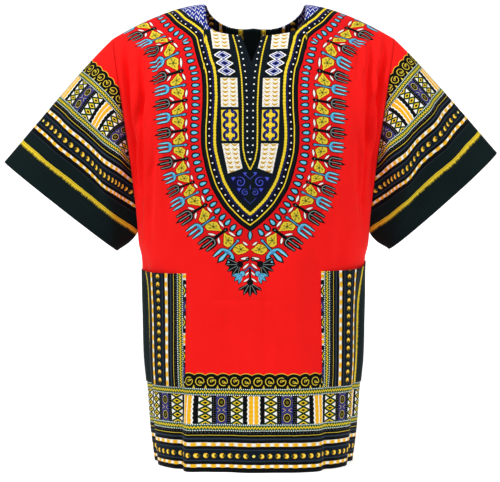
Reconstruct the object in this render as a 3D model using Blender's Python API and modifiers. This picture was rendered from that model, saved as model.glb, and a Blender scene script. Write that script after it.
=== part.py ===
"""A dashiki shirt, hollow and filled out as on its wearer.

Metres, +Z up. The front looks towards -Y and +X is to the viewer's right. The origin lies midway between
the two shoulder seams, at the middle of their height, where the wearer's shoulders carry the shirt.
Heights in the tables are measured up from the points where the shoulder seams meet the neckline.
"""

import math

import bmesh
import bpy
from mathutils import Vector

# Driving sizes of the garment
WALL = 0.0012  # thickness of the cloth
SEAM = 0.0003  # clearance between two pieces that are sewn together
NECK_HEIGHT = 0.027  # neck points above the origin
HEM_DROP = 0.771  # hem below the neck points
ARMPIT_DROP = 0.385  # underarm point below the neck points
RIDGE_HALF = 0.239  # neck centre to shoulder tip, across
NECK_HALF = 0.083  # half of the neck opening's width
NECK_SHIFT = 0.003  # the opening sits a little to the viewer's right
SHOULDER_FALL = 0.058  # shoulder tip below the neck point
SHOULDER_ROUNDING = 1.6  # 1 is a straight shoulder; more falls faster towards its tip

# Torso below the armpits: half width, depth of each half, and how boxy the section is (2 is an ellipse)
TORSO = [
    {"drop": 0.385, "half": 0.1965, "front": 0.146, "back": 0.136, "square": 2.15},
    {"drop": 0.408, "half": 0.1940, "front": 0.146, "back": 0.136, "square": 2.15},
    {"drop": 0.430, "half": 0.1888, "front": 0.147, "back": 0.136, "square": 2.20},
    {"drop": 0.510, "half": 0.1860, "front": 0.148, "back": 0.135, "square": 2.25},
    {"drop": 0.595, "half": 0.1837, "front": 0.150, "back": 0.134, "square": 2.30},
    {"drop": 0.640, "half": 0.1795, "front": 0.151, "back": 0.134, "square": 2.30},
    {"drop": 0.714, "half": 0.1740, "front": 0.154, "back": 0.134, "square": 2.30},
    {"drop": 0.771, "half": 0.1668, "front": 0.156, "back": 0.134, "square": 2.30},
]

# Neckline
FRONT_NECK_SHARE = 0.705  # share of the way up the front where the neckline's middle lies
BACK_NECK_SHARE = 0.778
FRONT_NECK_CORNER = 6.5  # how square the front neckline is
BACK_NECK_CORNER = 2.8
SLIT_SHARE = 0.588  # share of the way up the front where the neck slit ends
SLIT_HALF = 0.0175  # half width of the slit at the neckline
SLIT_SHIFT = -0.0035  # the slit sits a little to the viewer's left

# The upper panels run from the armpit level to the ridge of the shoulders. Each column of a panel is a
# Bezier curve, and this table gives its handles in metres at places across the panel: how far the lower
# one rises and pushes out, and how far the upper one reaches out from the ridge and drops below it.
HANDLES = {
    "front": [
        {"across": 0.00, "rise": 0.130, "push": 0.006, "reach": 0.112, "drop": 0.040},
        {"across": 0.34, "rise": 0.150, "push": 0.010, "reach": 0.104, "drop": 0.000},
        {"across": 0.70, "rise": 0.150, "push": 0.026, "reach": 0.086, "drop": 0.000},
        {"across": 1.00, "rise": 0.090, "push": 0.075, "reach": 0.060, "drop": 0.000},
    ],
    "back": [
        {"across": 0.00, "rise": 0.140, "push": 0.016, "reach": 0.115, "drop": 0.030},
        {"across": 0.34, "rise": 0.155, "push": 0.020, "reach": 0.106, "drop": 0.000},
        {"across": 0.70, "rise": 0.155, "push": 0.032, "reach": 0.088, "drop": 0.000},
        {"across": 1.00, "rise": 0.090, "push": 0.075, "reach": 0.060, "drop": 0.000},
    ],
}

# Soft folds of the body. side is -1 for the viewer's left, +1 for the right. across is the place on the
# panel from its centre line (0) to its side (1), and lean is how far that place moves over the fold.
# top and bottom are heights, width is a share of the half panel and depth is in metres, inwards.
FRONT_FOLDS = [
    {"side": -1, "across": 0.800, "lean": -0.04, "top": -0.095, "bottom": -0.360, "width": 0.050, "depth": 0.017},
    {"side": -1, "across": 0.910, "lean": -0.02, "top": -0.075, "bottom": -0.390, "width": 0.040, "depth": 0.012},
    {"side": -1, "across": 0.690, "lean": 0.03, "top": -0.170, "bottom": -0.330, "width": 0.040, "depth": 0.006},
    {"side": 1, "across": 0.850, "lean": -0.05, "top": -0.060, "bottom": -0.380, "width": 0.050, "depth": 0.018},
    {"side": 1, "across": 0.720, "lean": 0.04, "top": -0.190, "bottom": -0.400, "width": 0.045, "depth": 0.006},
    {"side": -1, "across": 0.400, "lean": 0.01, "top": -0.600, "bottom": -0.900, "width": 0.070, "depth": -0.011},
    {"side": -1, "across": 0.490, "lean": 0.01, "top": -0.630, "bottom": -0.900, "width": 0.034, "depth": 0.011},
    {"side": 1, "across": 0.400, "lean": 0.01, "top": -0.600, "bottom": -0.900, "width": 0.070, "depth": -0.012},
    {"side": 1, "across": 0.490, "lean": 0.00, "top": -0.630, "bottom": -0.900, "width": 0.034, "depth": 0.015},
    {"side": 1, "across": 0.270, "lean": 0.02, "top": -0.360, "bottom": -0.900, "width": 0.110, "depth": -0.006},
    {"side": -1, "across": 0.180, "lean": -0.02, "top": -0.400, "bottom": -0.900, "width": 0.090, "depth": 0.004},
    {"side": -1, "across": 0.820, "lean": 0.05, "top": -0.400, "bottom": -0.900, "width": 0.070, "depth": 0.006},
    {"side": 1, "across": 0.800, "lean": 0.03, "top": -0.420, "bottom": -0.900, "width": 0.080, "depth": 0.007},
]
BACK_FOLDS = [
    {"side": -1, "across": 0.820, "lean": -0.04, "top": -0.100, "bottom": -0.370, "width": 0.055, "depth": 0.015},
    {"side": 1, "across": 0.840, "lean": -0.04, "top": -0.090, "bottom": -0.380, "width": 0.055, "depth": 0.015},
    {"side": -1, "across": 0.620, "lean": 0.05, "top": -0.200, "bottom": -0.900, "width": 0.070, "depth": 0.010},
    {"side": 1, "across": 0.600, "lean": 0.06, "top": -0.230, "bottom": -0.900, "width": 0.070, "depth": 0.010},
    {"side": -1, "across": 0.250, "lean": 0.03, "top": -0.260, "bottom": -0.900, "width": 0.080, "depth": 0.009},
    {"side": 1, "across": 0.230, "lean": 0.02, "top": -0.300, "bottom": -0.900, "width": 0.080, "depth": 0.009},
]
FOLD_FADE = 0.09  # length over which a fold begins and ends

# Sleeves: the corners of each cuff, and how the sleeve leaves the armhole.
SLEEVES = {
    "sleeve_left": {"side": -1, "cuff_top": (0.4220, -0.267), "cuff_low": (0.2305, -0.4175), "bow": 0.001},
    "sleeve_right": {"side": 1, "cuff_top": (0.4120, -0.251), "cuff_low": (0.2290, -0.4145), "bow": 0.004},
}
# How a sleeve leaves the armhole and arrives at the cuff, in metres, at its top, middle and underarm
SLEEVE_FLOW = {
    "top": {"out": 0.053, "forward": 0.000, "down": 0.050, "arrive": 0.085},
    "middle": {"out": 0.060, "forward": 0.045, "down": 0.012, "arrive": 0.085},
    "underarm": {"out": 0.010, "forward": 0.000, "down": 0.022, "arrive": 0.006},
}
SLEEVE_RIDGE_CLEARANCE = 0.0003  # more at the sleeve's top, where the two walls lean together
CUFF_HALF_DEPTH = 0.038
CUFF_BOWING = 0.85  # below 1 the cuff's ends are blunt
# Folds along a sleeve: around is the angle from the top of the sleeve to its front, in degrees.
SLEEVE_FOLDS = {
    "sleeve_left": [
        {"around": 62, "width": 15, "depth": 0.006, "start": 0.15, "end": 1.00},
        {"around": 118, "width": 15, "depth": 0.011, "start": 0.00, "end": 0.75},
        {"around": 255, "width": 20, "depth": 0.009, "start": 0.10, "end": 1.00},
    ],
    "sleeve_right": [
        {"around": 66, "width": 15, "depth": 0.011, "start": 0.20, "end": 1.10},
        {"around": 112, "width": 14, "depth": 0.013, "start": 0.00, "end": 0.85},
        {"around": 250, "width": 20, "depth": 0.009, "start": 0.10, "end": 1.00},
    ],
}

# Pockets lie on the front panel, between two of its columns
POCKET_INNER = 0.455  # share of the half panel
POCKET_OUTER = 0.985
POCKET_TOP = 0.458  # drops below the neck points
POCKET_LOW = 0.637
POCKET_GAPE = 0.004  # how far the mouth stands off
POCKETS = {
    "pocket_left": {"side": -1, "mouth_rise": 0.006},
    "pocket_right": {"side": 1, "mouth_rise": 0.020},
}

FACING_ROWS = 4  # rows of the back panel that the neck facing lies behind
FACING_CLEARANCE = 0.0005

# Facets: the numbers of steps between named places, out from the centre line and up from the hem
NECK_PLACE = NECK_HALF / RIDGE_HALF
COLUMNS = {
    "front": [
        (0.0, 0),
        (SLIT_HALF / RIDGE_HALF, 2),
        (0.27, 4),
        (NECK_PLACE, 4),
        (POCKET_INNER, 3),
        (POCKET_OUTER, 12),
        (1.0, 1),
    ],
    "back": [(0.0, 0), (0.24, 4), (NECK_PLACE, 4), (POCKET_OUTER, 12), (1.0, 1)],
}
ROWS = {
    "front": [(0.0, 0), (0.347, 6), (0.811, 8), (1.0, 3), (1.985, 16), (2.0, 1)],
    "back": [(0.0, 0), (1.0, 12), (1.985, 16), (2.0, 1)],
}
SLEEVE_ROWS = [(0.0, 0), (0.03, 1), (1.0, 11)]


def ease(x):
    """0 below 0, 1 above 1, and smooth between."""
    x = min(1.0, max(0.0, x))
    return x * x * (3.0 - 2.0 * x)


def read_table(table, key, place, name):
    """A column of a table, read as a smooth curve through its rows."""
    place = min(table[-1][key], max(table[0][key], place))
    last = len(table) - 1
    i = 0
    while i < last - 1 and place > table[i + 1][key]:
        i += 1

    def slope(k):
        a, b = max(0, k - 1), min(last, k + 1)
        return (table[b][name] - table[a][name]) / (table[b][key] - table[a][key])

    a, b = table[i], table[i + 1]
    length = b[key] - a[key]
    t = (place - a[key]) / length
    return (
        (2 * t**3 - 3 * t**2 + 1) * a[name]
        + (t**3 - 2 * t**2 + t) * length * slope(i)
        + (3 * t**2 - 2 * t**3) * b[name]
        + (t**3 - t**2) * length * slope(i + 1)
    )


def ring_point(panel, across, height):
    """A point of the torso's half ring. across runs from -1 to 1, and the sides lie at y = 0."""
    angle = across * math.pi / 2
    wide = read_table(TORSO, "drop", -height, "half")
    deep = read_table(TORSO, "drop", -height, panel)
    square = read_table(TORSO, "drop", -height, "square")
    sine, cosine = math.sin(angle), max(0.0, math.cos(angle))
    radius = ((abs(sine) / wide) ** square + (cosine / deep) ** square) ** (-1 / square)
    return Vector((radius * sine, -radius * cosine, height))


def ridge_point(across):
    """The line along the shoulders' tops, which the neck opening cuts through."""
    x = across * RIDGE_HALF
    outward = (abs(x) - NECK_HALF) / (RIDGE_HALF - NECK_HALF)
    fall = SHOULDER_FALL * outward**SHOULDER_ROUNDING if outward > 0 else -SHOULDER_FALL * outward**2
    return Vector((x, 0.0, -fall))


def handle(panel, across, name):
    return read_table(HANDLES[panel], "across", abs(across), name)


def column_point(panel, across, share):
    """A point of the upper panel, share of the way from the armpit level to the ridge, with no folds."""
    low = ring_point(panel, across, -ARMPIT_DROP)
    top = ridge_point(across)
    first = low + Vector((0.0, -handle(panel, across, "push"), handle(panel, across, "rise")))
    second = top + Vector((0.0, -handle(panel, across, "reach"), -handle(panel, across, "drop")))
    rest = 1.0 - share
    return rest**3 * low + 3 * rest**2 * share * first + 3 * rest * share**2 * second + share**3 * top


def bare_point(panel, across, up):
    """A point of the panel with no folds. up runs from 0 at the hem to 1 at the armpits and 2 at the ridge."""
    if up <= 1.0:
        height = -HEM_DROP + (HEM_DROP - ARMPIT_DROP) * up
        return ring_point(panel, across, height)
    return column_point(panel, across, up - 1.0)


def outward_normal(panel, across, up):
    step = 0.004
    a = bare_point(panel, max(-1.0, across - step), up)
    b = bare_point(panel, min(1.0, across + step), up)
    c = bare_point(panel, across, max(0.0, up - step))
    d = bare_point(panel, across, min(2.0, up + step))
    return (b - a).cross(d - c).normalized()


def fold_depth(panel, across, height):
    """How far the folds take the cloth inwards here."""
    total = 0.0
    for fold in FRONT_FOLDS if panel == "front" else BACK_FOLDS:
        length = fold["top"] - fold["bottom"]
        down = (fold["top"] - height) / length
        if down < 0 or height < fold["bottom"]:
            continue
        middle = fold["side"] * (fold["across"] + fold["lean"] * down)
        fade = ease((fold["top"] - height) / FOLD_FADE) * ease((height - fold["bottom"]) / FOLD_FADE)
        offset = (across - middle) / fold["width"]
        # a trough between two lower crests, as cloth gathers beside a fold
        total += fold["depth"] * fade * (1.35 * math.exp(-offset * offset) - 0.35 * math.exp(-offset * offset / 6))
    return total


def panel_point(panel, across, up):
    """A point of the folded front or back."""
    bare = bare_point(panel, across, up)
    held = ease((1.0 - abs(across)) / 0.06)  # the side seams and armholes keep their line
    held *= ease((2.0 - up) / 0.12)
    inward = fold_depth(panel, across, bare.z) * held
    point = bare - outward_normal(panel, across, up) * inward
    return finish(point, panel)


def finish(point, panel="front"):
    """Turns the back panel round and sets heights from the origin."""
    turn = -1.0 if panel == "back" else 1.0
    return Vector((turn * point.x, turn * point.y, point.z + NECK_HEIGHT))


def top_share(panel, across):
    """Where a column ends: at the shoulder seam, the neckline or the neck slit."""
    neck = NECK_HALF / RIDGE_HALF
    shift = NECK_SHIFT / RIDGE_HALF if panel == "front" else -NECK_SHIFT / RIDGE_HALF
    place = abs(across - shift) / neck
    if place >= 1.0:
        return 1.0
    middle, corner = (
        (FRONT_NECK_SHARE, FRONT_NECK_CORNER) if panel == "front" else (BACK_NECK_SHARE, BACK_NECK_CORNER)
    )
    neckline = 1.0 - (1.0 - middle) * (1.0 - place**corner) ** (1.0 / corner)
    if panel == "front":
        slit = abs(across * RIDGE_HALF - SLIT_SHIFT) / SLIT_HALF
        if slit < 1.0:
            return SLIT_SHARE + (neckline - SLIT_SHARE) * slit
    return neckline


def steps(knots):
    """The places of a piece's facets, from knots of a place and the number of steps that lead to it."""
    places = [knots[0][0]]
    for (start, _), (end, count) in zip(knots, knots[1:]):
        places += [start + (end - start) * (k + 1) / count for k in range(count)]
    return places


def panel_columns(panel):
    """Places across a panel. Those at the neck move with the neck opening."""
    half = steps(COLUMNS[panel])
    neck_shift = NECK_SHIFT / RIDGE_HALF * (1 if panel == "front" else -1)
    middle_shift = SLIT_SHIFT / RIDGE_HALF if panel == "front" else neck_shift
    slit_place = SLIT_HALF / RIDGE_HALF
    columns = []
    for place in [-x for x in reversed(half[1:])] + half:
        place *= 1.0 - SEAM / 0.45  # half of the seam's clearance
        to_neck = ease((abs(place) - slit_place) / (NECK_PLACE - slit_place))
        shift = middle_shift + (neck_shift - middle_shift) * to_neck
        columns.append(place + shift * (1.0 - ease((abs(place) - NECK_PLACE) / 0.09)))
    return columns


def panel_grid(panel):
    """Rows of points over a folded panel, trimmed at its top, with clearance at the shoulder seams."""
    grid = []
    columns = panel_columns(panel)
    for row in steps(ROWS[panel]):
        line = []
        for across in columns:
            end = top_share(panel, across) - SEAM / 0.5
            up = row if row <= 1.0 else 1.0 + (row - 1.0) * end
            line.append(panel_point(panel, across, up))
        grid.append(line)
    return grid


def grid_normals(grid):
    normals = []
    last_row, last_column = len(grid) - 1, len(grid[0]) - 1
    for j, line in enumerate(grid):
        above, below = grid[min(last_row, j + 1)], grid[max(0, j - 1)]
        normals.append([])
        for i in range(last_column + 1):
            along = line[min(last_column, i + 1)] - line[max(0, i - 1)]
            normals[-1].append(along.cross(above[i] - below[i]).normalized())
    return normals


def armhole_point(side, around):
    """A point of the armhole seam. around runs in degrees from the shoulder tip (0) by the front (90) to the
    armpit (180) and back up behind."""
    front = around <= 180.0
    share = 1.0 - (around / 180.0 if front else (360.0 - around) / 180.0)
    panel = "front" if front else "back"
    point = column_point(panel, 1.0, share)
    return Vector((side * point.x, point.y if front else -point.y, point.z))


def cuff_point(sleeve, around):
    angle = math.radians(around)
    top = Vector((sleeve["cuff_top"][0], 0.0, sleeve["cuff_top"][1]))
    low = Vector((sleeve["cuff_low"][0], 0.0, sleeve["cuff_low"][1]))
    along = math.cos(angle)
    deep = math.copysign(abs(math.sin(angle)) ** CUFF_BOWING, math.sin(angle))
    point = (top + low) / 2 + (top - low) / 2 * along
    point += Vector((0.652, 0.0, -0.758)) * sleeve["bow"] * max(0.0, deep)
    point.y = -CUFF_HALF_DEPTH * deep - 0.006
    point.x *= sleeve["side"]
    return point


def sleeve_fold(name, around, share):
    total = 0.0
    for fold in SLEEVE_FOLDS[name]:
        fade = ease((share - fold["start"]) / 0.25) * ease((fold["end"] - share) / 0.25)
        if fold["start"] <= 0.0:
            fade = ease(share / 0.15) * ease((fold["end"] - share) / 0.25)
        offset = (around - fold["around"]) / fold["width"]
        total += fold["depth"] * fade * (1.35 * math.exp(-offset * offset) - 0.35 * math.exp(-offset * offset / 6))
    return total


def sleeve_bare(sleeve, around, share):
    """A point of a sleeve with no folds, share of the way from the armhole to the cuff."""
    side = sleeve["side"]
    start = armhole_point(side, around)
    end = cuff_point(sleeve, around)
    angle = math.radians(around)
    near = "top" if math.cos(angle) > 0 else "underarm"
    weight = math.cos(angle) ** 2
    flow = {
        key: weight * SLEEVE_FLOW[near][key] + (1.0 - weight) * SLEEVE_FLOW["middle"][key]
        for key in SLEEVE_FLOW["middle"]
    }
    leave = Vector((side * flow["out"], -flow["forward"] * math.sin(angle), -flow["down"]))
    first = start + leave
    start_share = (SEAM + SLEEVE_RIDGE_CLEARANCE * max(0.0, math.cos(angle)) ** 2) / (3.0 * leave.length)
    share = start_share + (1.0 - start_share) * share
    second = end - Vector((side * 0.652, 0.0, -0.758)) * flow["arrive"]
    rest = 1.0 - share
    return rest**3 * start + 3 * rest**2 * share * first + 3 * rest * share**2 * second + share**3 * end


def sleeve_point(name, around, share):
    sleeve = SLEEVES[name]
    bare = sleeve_bare(sleeve, around, share)
    step = 0.01
    along = sleeve_bare(sleeve, around, min(1.0, share + step)) - sleeve_bare(sleeve, around, max(0.0, share - step))
    turn = sleeve_bare(sleeve, around + 3, share) - sleeve_bare(sleeve, around - 3, share)
    normal = along.cross(turn).normalized() * sleeve["side"]
    return finish(bare + normal * -sleeve_fold(name, around, share))


def cloth_material(name, colour):
    material = bpy.data.materials.new(name)
    material.use_nodes = True
    shader = material.node_tree.nodes["Principled BSDF"]
    shader.inputs["Base Color"].default_value = (*colour, 1.0)
    shader.inputs["Roughness"].default_value = 0.8
    shader.inputs["Metallic"].default_value = 0.0
    return material


def sheet(name, grid, material, closed=False):
    """An open sheet of cloth through rows of points, thickened towards its inside."""
    bm = bmesh.new()
    rows, columns = len(grid), len(grid[0])
    bmesh.ops.create_grid(bm, x_segments=columns - 1, y_segments=rows - 1, size=1.0)
    for vertex in bm.verts:
        i = round((vertex.co.x + 1.0) / 2 * (columns - 1))
        j = round((vertex.co.y + 1.0) / 2 * (rows - 1))
        vertex.co = grid[j][i]
    if closed:
        bmesh.ops.remove_doubles(bm, verts=bm.verts, dist=1e-5)
    mesh = bpy.data.meshes.new(name)
    bm.to_mesh(mesh)
    bm.free()
    mesh.materials.append(material)
    mesh.shade_smooth()
    piece = bpy.data.objects.new(name, mesh)
    collection.objects.link(piece)
    wall = piece.modifiers.new("wall", "SOLIDIFY")
    wall.thickness = WALL
    wall.offset = -1.0
    return piece


def make_sleeve(name, material):
    """The sleeve's columns start at the ends of the panels' rows, so that the two edges run side by side."""
    side = SLEEVES[name]["side"]
    shares = [row - 1.0 for row in steps(ROWS["front"]) if row >= 1.0]
    front = [180.0 * (1.0 - share) for share in shares]
    around = [360.0 - angle for angle in reversed(front)] + front[1:]
    if side < 0:
        around.reverse()
    grid = []
    for share in reversed(steps(SLEEVE_ROWS)):
        grid.append([sleeve_point(name, angle % 360.0, share) for angle in around])
    return sheet(name, grid, material, closed=True)


def make_pocket(name, front, material):
    """A pocket is made of the front panel's points moved out."""
    pocket = POCKETS[name]
    half = steps(COLUMNS["front"])
    middle = len(half) - 1
    columns = [middle + pocket["side"] * i for i, x in enumerate(half) if POCKET_INNER - 1e-6 <= x <= POCKET_OUTER + 1e-6]
    columns.sort()
    rows = [j for j, up in enumerate(steps(ROWS["front"])) if 0.347 - 1e-6 <= up <= 0.811 + 1e-6]
    normals = grid_normals(front)
    grid = []
    for k, j in enumerate(rows):
        rise = k / (len(rows) - 1)
        line = []
        for i in columns:
            out = abs(i - (columns[0] if pocket["side"] > 0 else columns[-1])) / (columns[-1] - columns[0])
            gape = POCKET_GAPE * rise**4 * math.sin(math.pi * out) ** 2
            point = front[j][i] + normals[j][i] * (WALL + SEAM + gape)
            if j == rows[-1]:
                higher = front[j + 1][i] + normals[j + 1][i] * (WALL + SEAM)
                length = (higher - point).length
                point = point.lerp(higher, pocket["mouth_rise"] * out**2.5 / length)
            line.append(point)
        grid.append(line)
    return sheet(name, grid, material)


def make_facing(back, material):
    """The facing lies inside the back panel, along its neckline."""
    columns = [i for i, across in enumerate(panel_columns("back")) if abs(across) < NECK_PLACE - 0.02]
    normals = grid_normals(back)
    grid = []
    for j in range(len(back) - 1 - FACING_ROWS, len(back)):
        grid.append([back[j][i] - normals[j][i] * (WALL + FACING_CLEARANCE) for i in columns])
    return sheet("neck_facing", grid, material)


for leftover in list(bpy.data.objects):
    bpy.data.objects.remove(leftover)
collection = bpy.data.collections.new("dashiki_shirt")
bpy.context.scene.collection.children.link(collection)

red_print = cloth_material("red_print_cotton", (0.80, 0.03, 0.03))
border_print = cloth_material("border_print_cotton", (0.05, 0.08, 0.09))

front_grid = panel_grid("front")
back_grid = panel_grid("back")
sheet("front", front_grid, red_print)
sheet("back", back_grid, red_print)
for sleeve_name in SLEEVES:
    make_sleeve(sleeve_name, border_print)
for pocket_name in POCKETS:
    make_pocket(pocket_name, front_grid, border_print)
make_facing(back_grid, border_print)
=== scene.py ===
import math

import bmesh
import bpy
import numpy as np
from mathutils import Matrix, Vector


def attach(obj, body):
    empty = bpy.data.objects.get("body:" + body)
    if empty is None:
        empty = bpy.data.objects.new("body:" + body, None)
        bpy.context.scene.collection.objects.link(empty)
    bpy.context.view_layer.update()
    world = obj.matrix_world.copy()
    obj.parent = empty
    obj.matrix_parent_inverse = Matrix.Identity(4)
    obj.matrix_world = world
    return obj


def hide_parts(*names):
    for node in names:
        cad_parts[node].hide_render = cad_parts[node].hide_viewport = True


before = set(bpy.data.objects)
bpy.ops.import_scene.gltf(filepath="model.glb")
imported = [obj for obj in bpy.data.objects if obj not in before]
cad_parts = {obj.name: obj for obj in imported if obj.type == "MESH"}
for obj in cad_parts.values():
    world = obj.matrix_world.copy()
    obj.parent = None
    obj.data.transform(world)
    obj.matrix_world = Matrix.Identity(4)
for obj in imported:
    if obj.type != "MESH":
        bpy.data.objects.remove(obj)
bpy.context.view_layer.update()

# the garment's cut, as in the solids, in metres
shirt = {
    "wall": 0.0012,
    "seam": 0.0003,  # clearance along the sewn seams
    "acrossLength": 0.45,  # metres of cloth to a whole step across a panel and up it
    "upLength": 0.5,
    "neckHeight": 0.027,  # neck points above the origin
    "hemDrop": 0.771,
    "armpitDrop": 0.385,
    "ridgeHalf": 0.239,
    "neckHalf": 0.083,
    "neckShift": 0.003,
    "neckBlend": 0.09,  # how far past the neck points that shift fades out
    "shoulderFall": 0.058,
    "shoulderRounding": 1.6,
    "slitShare": 0.588,
    "slitHalf": 0.0175,
    "slitShift": -0.0035,  # the slit sits a little to the viewer's left
    "foldFade": 0.09,
    "sideHold": 0.06,  # folds fade out this near the side seams, and this near the shoulders
    "topHold": 0.12,
}
neckline = {
    "front": {"share": 0.700, "corner": 8.0},
    "back": {"share": 0.778, "corner": 2.8},
}
torsoRings = [  # drop below the neck points, half width, depths and squareness
    {"drop": 0.385, "half": 0.1965, "front": 0.146, "back": 0.136, "square": 2.15},
    {"drop": 0.408, "half": 0.1940, "front": 0.146, "back": 0.136, "square": 2.15},
    {"drop": 0.430, "half": 0.1888, "front": 0.147, "back": 0.136, "square": 2.20},
    {"drop": 0.510, "half": 0.1860, "front": 0.148, "back": 0.135, "square": 2.25},
    {"drop": 0.595, "half": 0.1837, "front": 0.150, "back": 0.134, "square": 2.30},
    {"drop": 0.640, "half": 0.1795, "front": 0.151, "back": 0.134, "square": 2.30},
    {"drop": 0.714, "half": 0.1740, "front": 0.154, "back": 0.134, "square": 2.30},
    {"drop": 0.771, "half": 0.1668, "front": 0.156, "back": 0.134, "square": 2.30},
]
upperCurve = {  # how each column of the upper panel leaves the armpit level and meets the shoulder
    "front": [
        {"across": 0.00, "rise": 0.130, "push": 0.006, "reach": 0.112, "drop": 0.040},
        {"across": 0.34, "rise": 0.150, "push": 0.010, "reach": 0.104, "drop": 0.000},
        {"across": 0.70, "rise": 0.150, "push": 0.026, "reach": 0.086, "drop": 0.000},
        {"across": 1.00, "rise": 0.090, "push": 0.075, "reach": 0.060, "drop": 0.000},
    ],
    "back": [
        {"across": 0.00, "rise": 0.140, "push": 0.016, "reach": 0.115, "drop": 0.030},
        {"across": 0.34, "rise": 0.155, "push": 0.020, "reach": 0.106, "drop": 0.000},
        {"across": 0.70, "rise": 0.155, "push": 0.032, "reach": 0.088, "drop": 0.000},
        {"across": 1.00, "rise": 0.090, "push": 0.075, "reach": 0.060, "drop": 0.000},
    ],
}
panelFolds = {  # side, place across, lean, top and bottom heights, width across, depth
    "front": [
        (-1, 0.800, 0.01, -0.050, -0.370, 0.026, 0.012),
        (-1, 0.925, 0.00, -0.050, -0.350, 0.028, 0.020),
        (-1, 0.700, -0.03, -0.040, -0.180, 0.022, 0.007),
        (-1, 0.680, 0.06, -0.200, -0.430, 0.030, 0.005),
        (-1, 0.610, -0.03, -0.230, -0.420, 0.045, 0.004),
        (1, 0.830, -0.02, -0.040, -0.400, 0.028, 0.015),
        (1, 0.940, 0.00, -0.040, -0.360, 0.026, 0.018),
        (1, 0.740, -0.02, -0.030, -0.150, 0.022, 0.006),
        (1, 0.720, 0.05, -0.190, -0.400, 0.034, 0.008),
        (1, 0.620, -0.05, -0.330, -0.480, 0.050, 0.004),
        (-1, 0.400, 0.01, -0.600, -0.900, 0.070, -0.011),
        (-1, 0.490, 0.01, -0.600, -0.900, 0.040, 0.005),
        (1, 0.400, 0.01, -0.600, -0.900, 0.080, -0.006),
        (1, 0.490, 0.00, -0.600, -0.900, 0.044, 0.005),
        (1, 0.270, 0.02, -0.360, -0.900, 0.110, -0.007),
        (-1, 0.180, -0.02, -0.400, -0.900, 0.090, 0.006),
        (-1, 0.820, 0.05, -0.400, -0.900, 0.070, 0.007),
        (1, 0.800, 0.03, -0.420, -0.900, 0.080, 0.008),
        (1, 0.070, 0.03, -0.430, -0.720, 0.045, 0.0035),
    ],
    "back": [
        (-1, 0.820, -0.04, -0.100, -0.370, 0.055, 0.015),
        (1, 0.840, -0.04, -0.090, -0.380, 0.055, 0.015),
        (-1, 0.620, 0.05, -0.200, -0.900, 0.070, 0.010),
        (1, 0.600, 0.06, -0.230, -0.900, 0.070, 0.010),
        (-1, 0.250, 0.03, -0.260, -0.900, 0.080, 0.009),
        (1, 0.230, 0.02, -0.300, -0.900, 0.080, 0.009),
        (-1, 0.440, 0.03, -0.330, -0.700, 0.040, 0.005),
        (1, 0.400, -0.04, -0.290, -0.640, 0.045, 0.005),
    ],
}


def ease(x):
    x = np.clip(x, 0.0, 1.0)
    return x * x * (3.0 - 2.0 * x)


def readTable(table, key, place, name):  # a column of a table, read as a smooth curve through its rows
    keys = np.array([row[key] for row in table])
    values = np.array([row[name] for row in table])
    last = len(keys) - 1
    after, before = np.minimum(last, np.arange(last + 1) + 1), np.maximum(0, np.arange(last + 1) - 1)
    slopes = (values[after] - values[before]) / (keys[after] - keys[before])
    place = np.clip(place, keys[0], keys[-1])
    i = np.clip(np.searchsorted(keys, place, side="left") - 1, 0, last - 1)
    length = keys[i + 1] - keys[i]
    t = (place - keys[i]) / length
    start = (2 * t**3 - 3 * t**2 + 1) * values[i] + (t**3 - 2 * t**2 + t) * length * slopes[i]
    return start + (3 * t**2 - 2 * t**3) * values[i + 1] + (t**3 - t**2) * length * slopes[i + 1]


def vectors(x, y, z):
    return np.stack(np.broadcast_arrays(x, y, z), axis=-1)


def unit(v):
    return v / np.maximum(np.linalg.norm(v, axis=-1, keepdims=True), 1e-12)


def ringPoint(panel, across, height):
    angle = across * math.pi / 2
    wide = readTable(torsoRings, "drop", -height, "half")
    deep = readTable(torsoRings, "drop", -height, panel)
    square = readTable(torsoRings, "drop", -height, "square")
    sine, cosine = np.sin(angle), np.maximum(0.0, np.cos(angle))
    radius = ((np.abs(sine) / wide) ** square + (cosine / deep) ** square) ** (-1 / square)
    return vectors(radius * sine, -radius * cosine, height)


def ridgePoint(across):
    x = across * shirt["ridgeHalf"]
    outward = (np.abs(x) - shirt["neckHalf"]) / (shirt["ridgeHalf"] - shirt["neckHalf"])
    past = np.maximum(outward, 0.0) ** shirt["shoulderRounding"]
    return vectors(x, 0.0, -shirt["shoulderFall"] * np.where(outward > 0, past, -(outward**2)))


def columnPoint(panel, across, share):
    low = ringPoint(panel, across, -shirt["armpitDrop"] + 0.0 * across)
    top = ridgePoint(across)
    place = np.abs(across)
    rise, push, reach, drop = (
        readTable(upperCurve[panel], "across", place, name) for name in ("rise", "push", "reach", "drop")
    )
    share = np.asarray(share)[..., None]
    rest = 1.0 - share
    first = low + vectors(0.0, -push, rise)
    second = top + vectors(0.0, -reach, -drop)
    return rest**3 * low + 3 * rest**2 * share * first + 3 * rest * share**2 * second + share**3 * top


def barePoint(panel, across, up):  # up runs from 0 at the hem to 1 at the armpits and 2 at the shoulders
    across, up = np.broadcast_arrays(across, up)
    height = -shirt["hemDrop"] + (shirt["hemDrop"] - shirt["armpitDrop"]) * np.minimum(up, 1.0)
    lower = ringPoint(panel, across, height)
    upper = columnPoint(panel, across, np.clip(up - 1.0, 0.0, 1.0))
    return np.where((up <= 1.0)[..., None], lower, upper)


def outwardNormal(panel, across, up):
    step = 0.004
    wide = barePoint(panel, np.minimum(1.0, across + step), up) - barePoint(panel, np.maximum(-1.0, across - step), up)
    tall = barePoint(panel, across, np.minimum(2.0, up + step)) - barePoint(panel, across, np.maximum(0.0, up - step))
    return unit(np.cross(wide, tall))


def troughShape(offset):  # a trough between two lower crests, as cloth gathers beside a fold
    return 1.35 * np.exp(-offset * offset) - 0.35 * np.exp(-offset * offset / 6)


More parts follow.
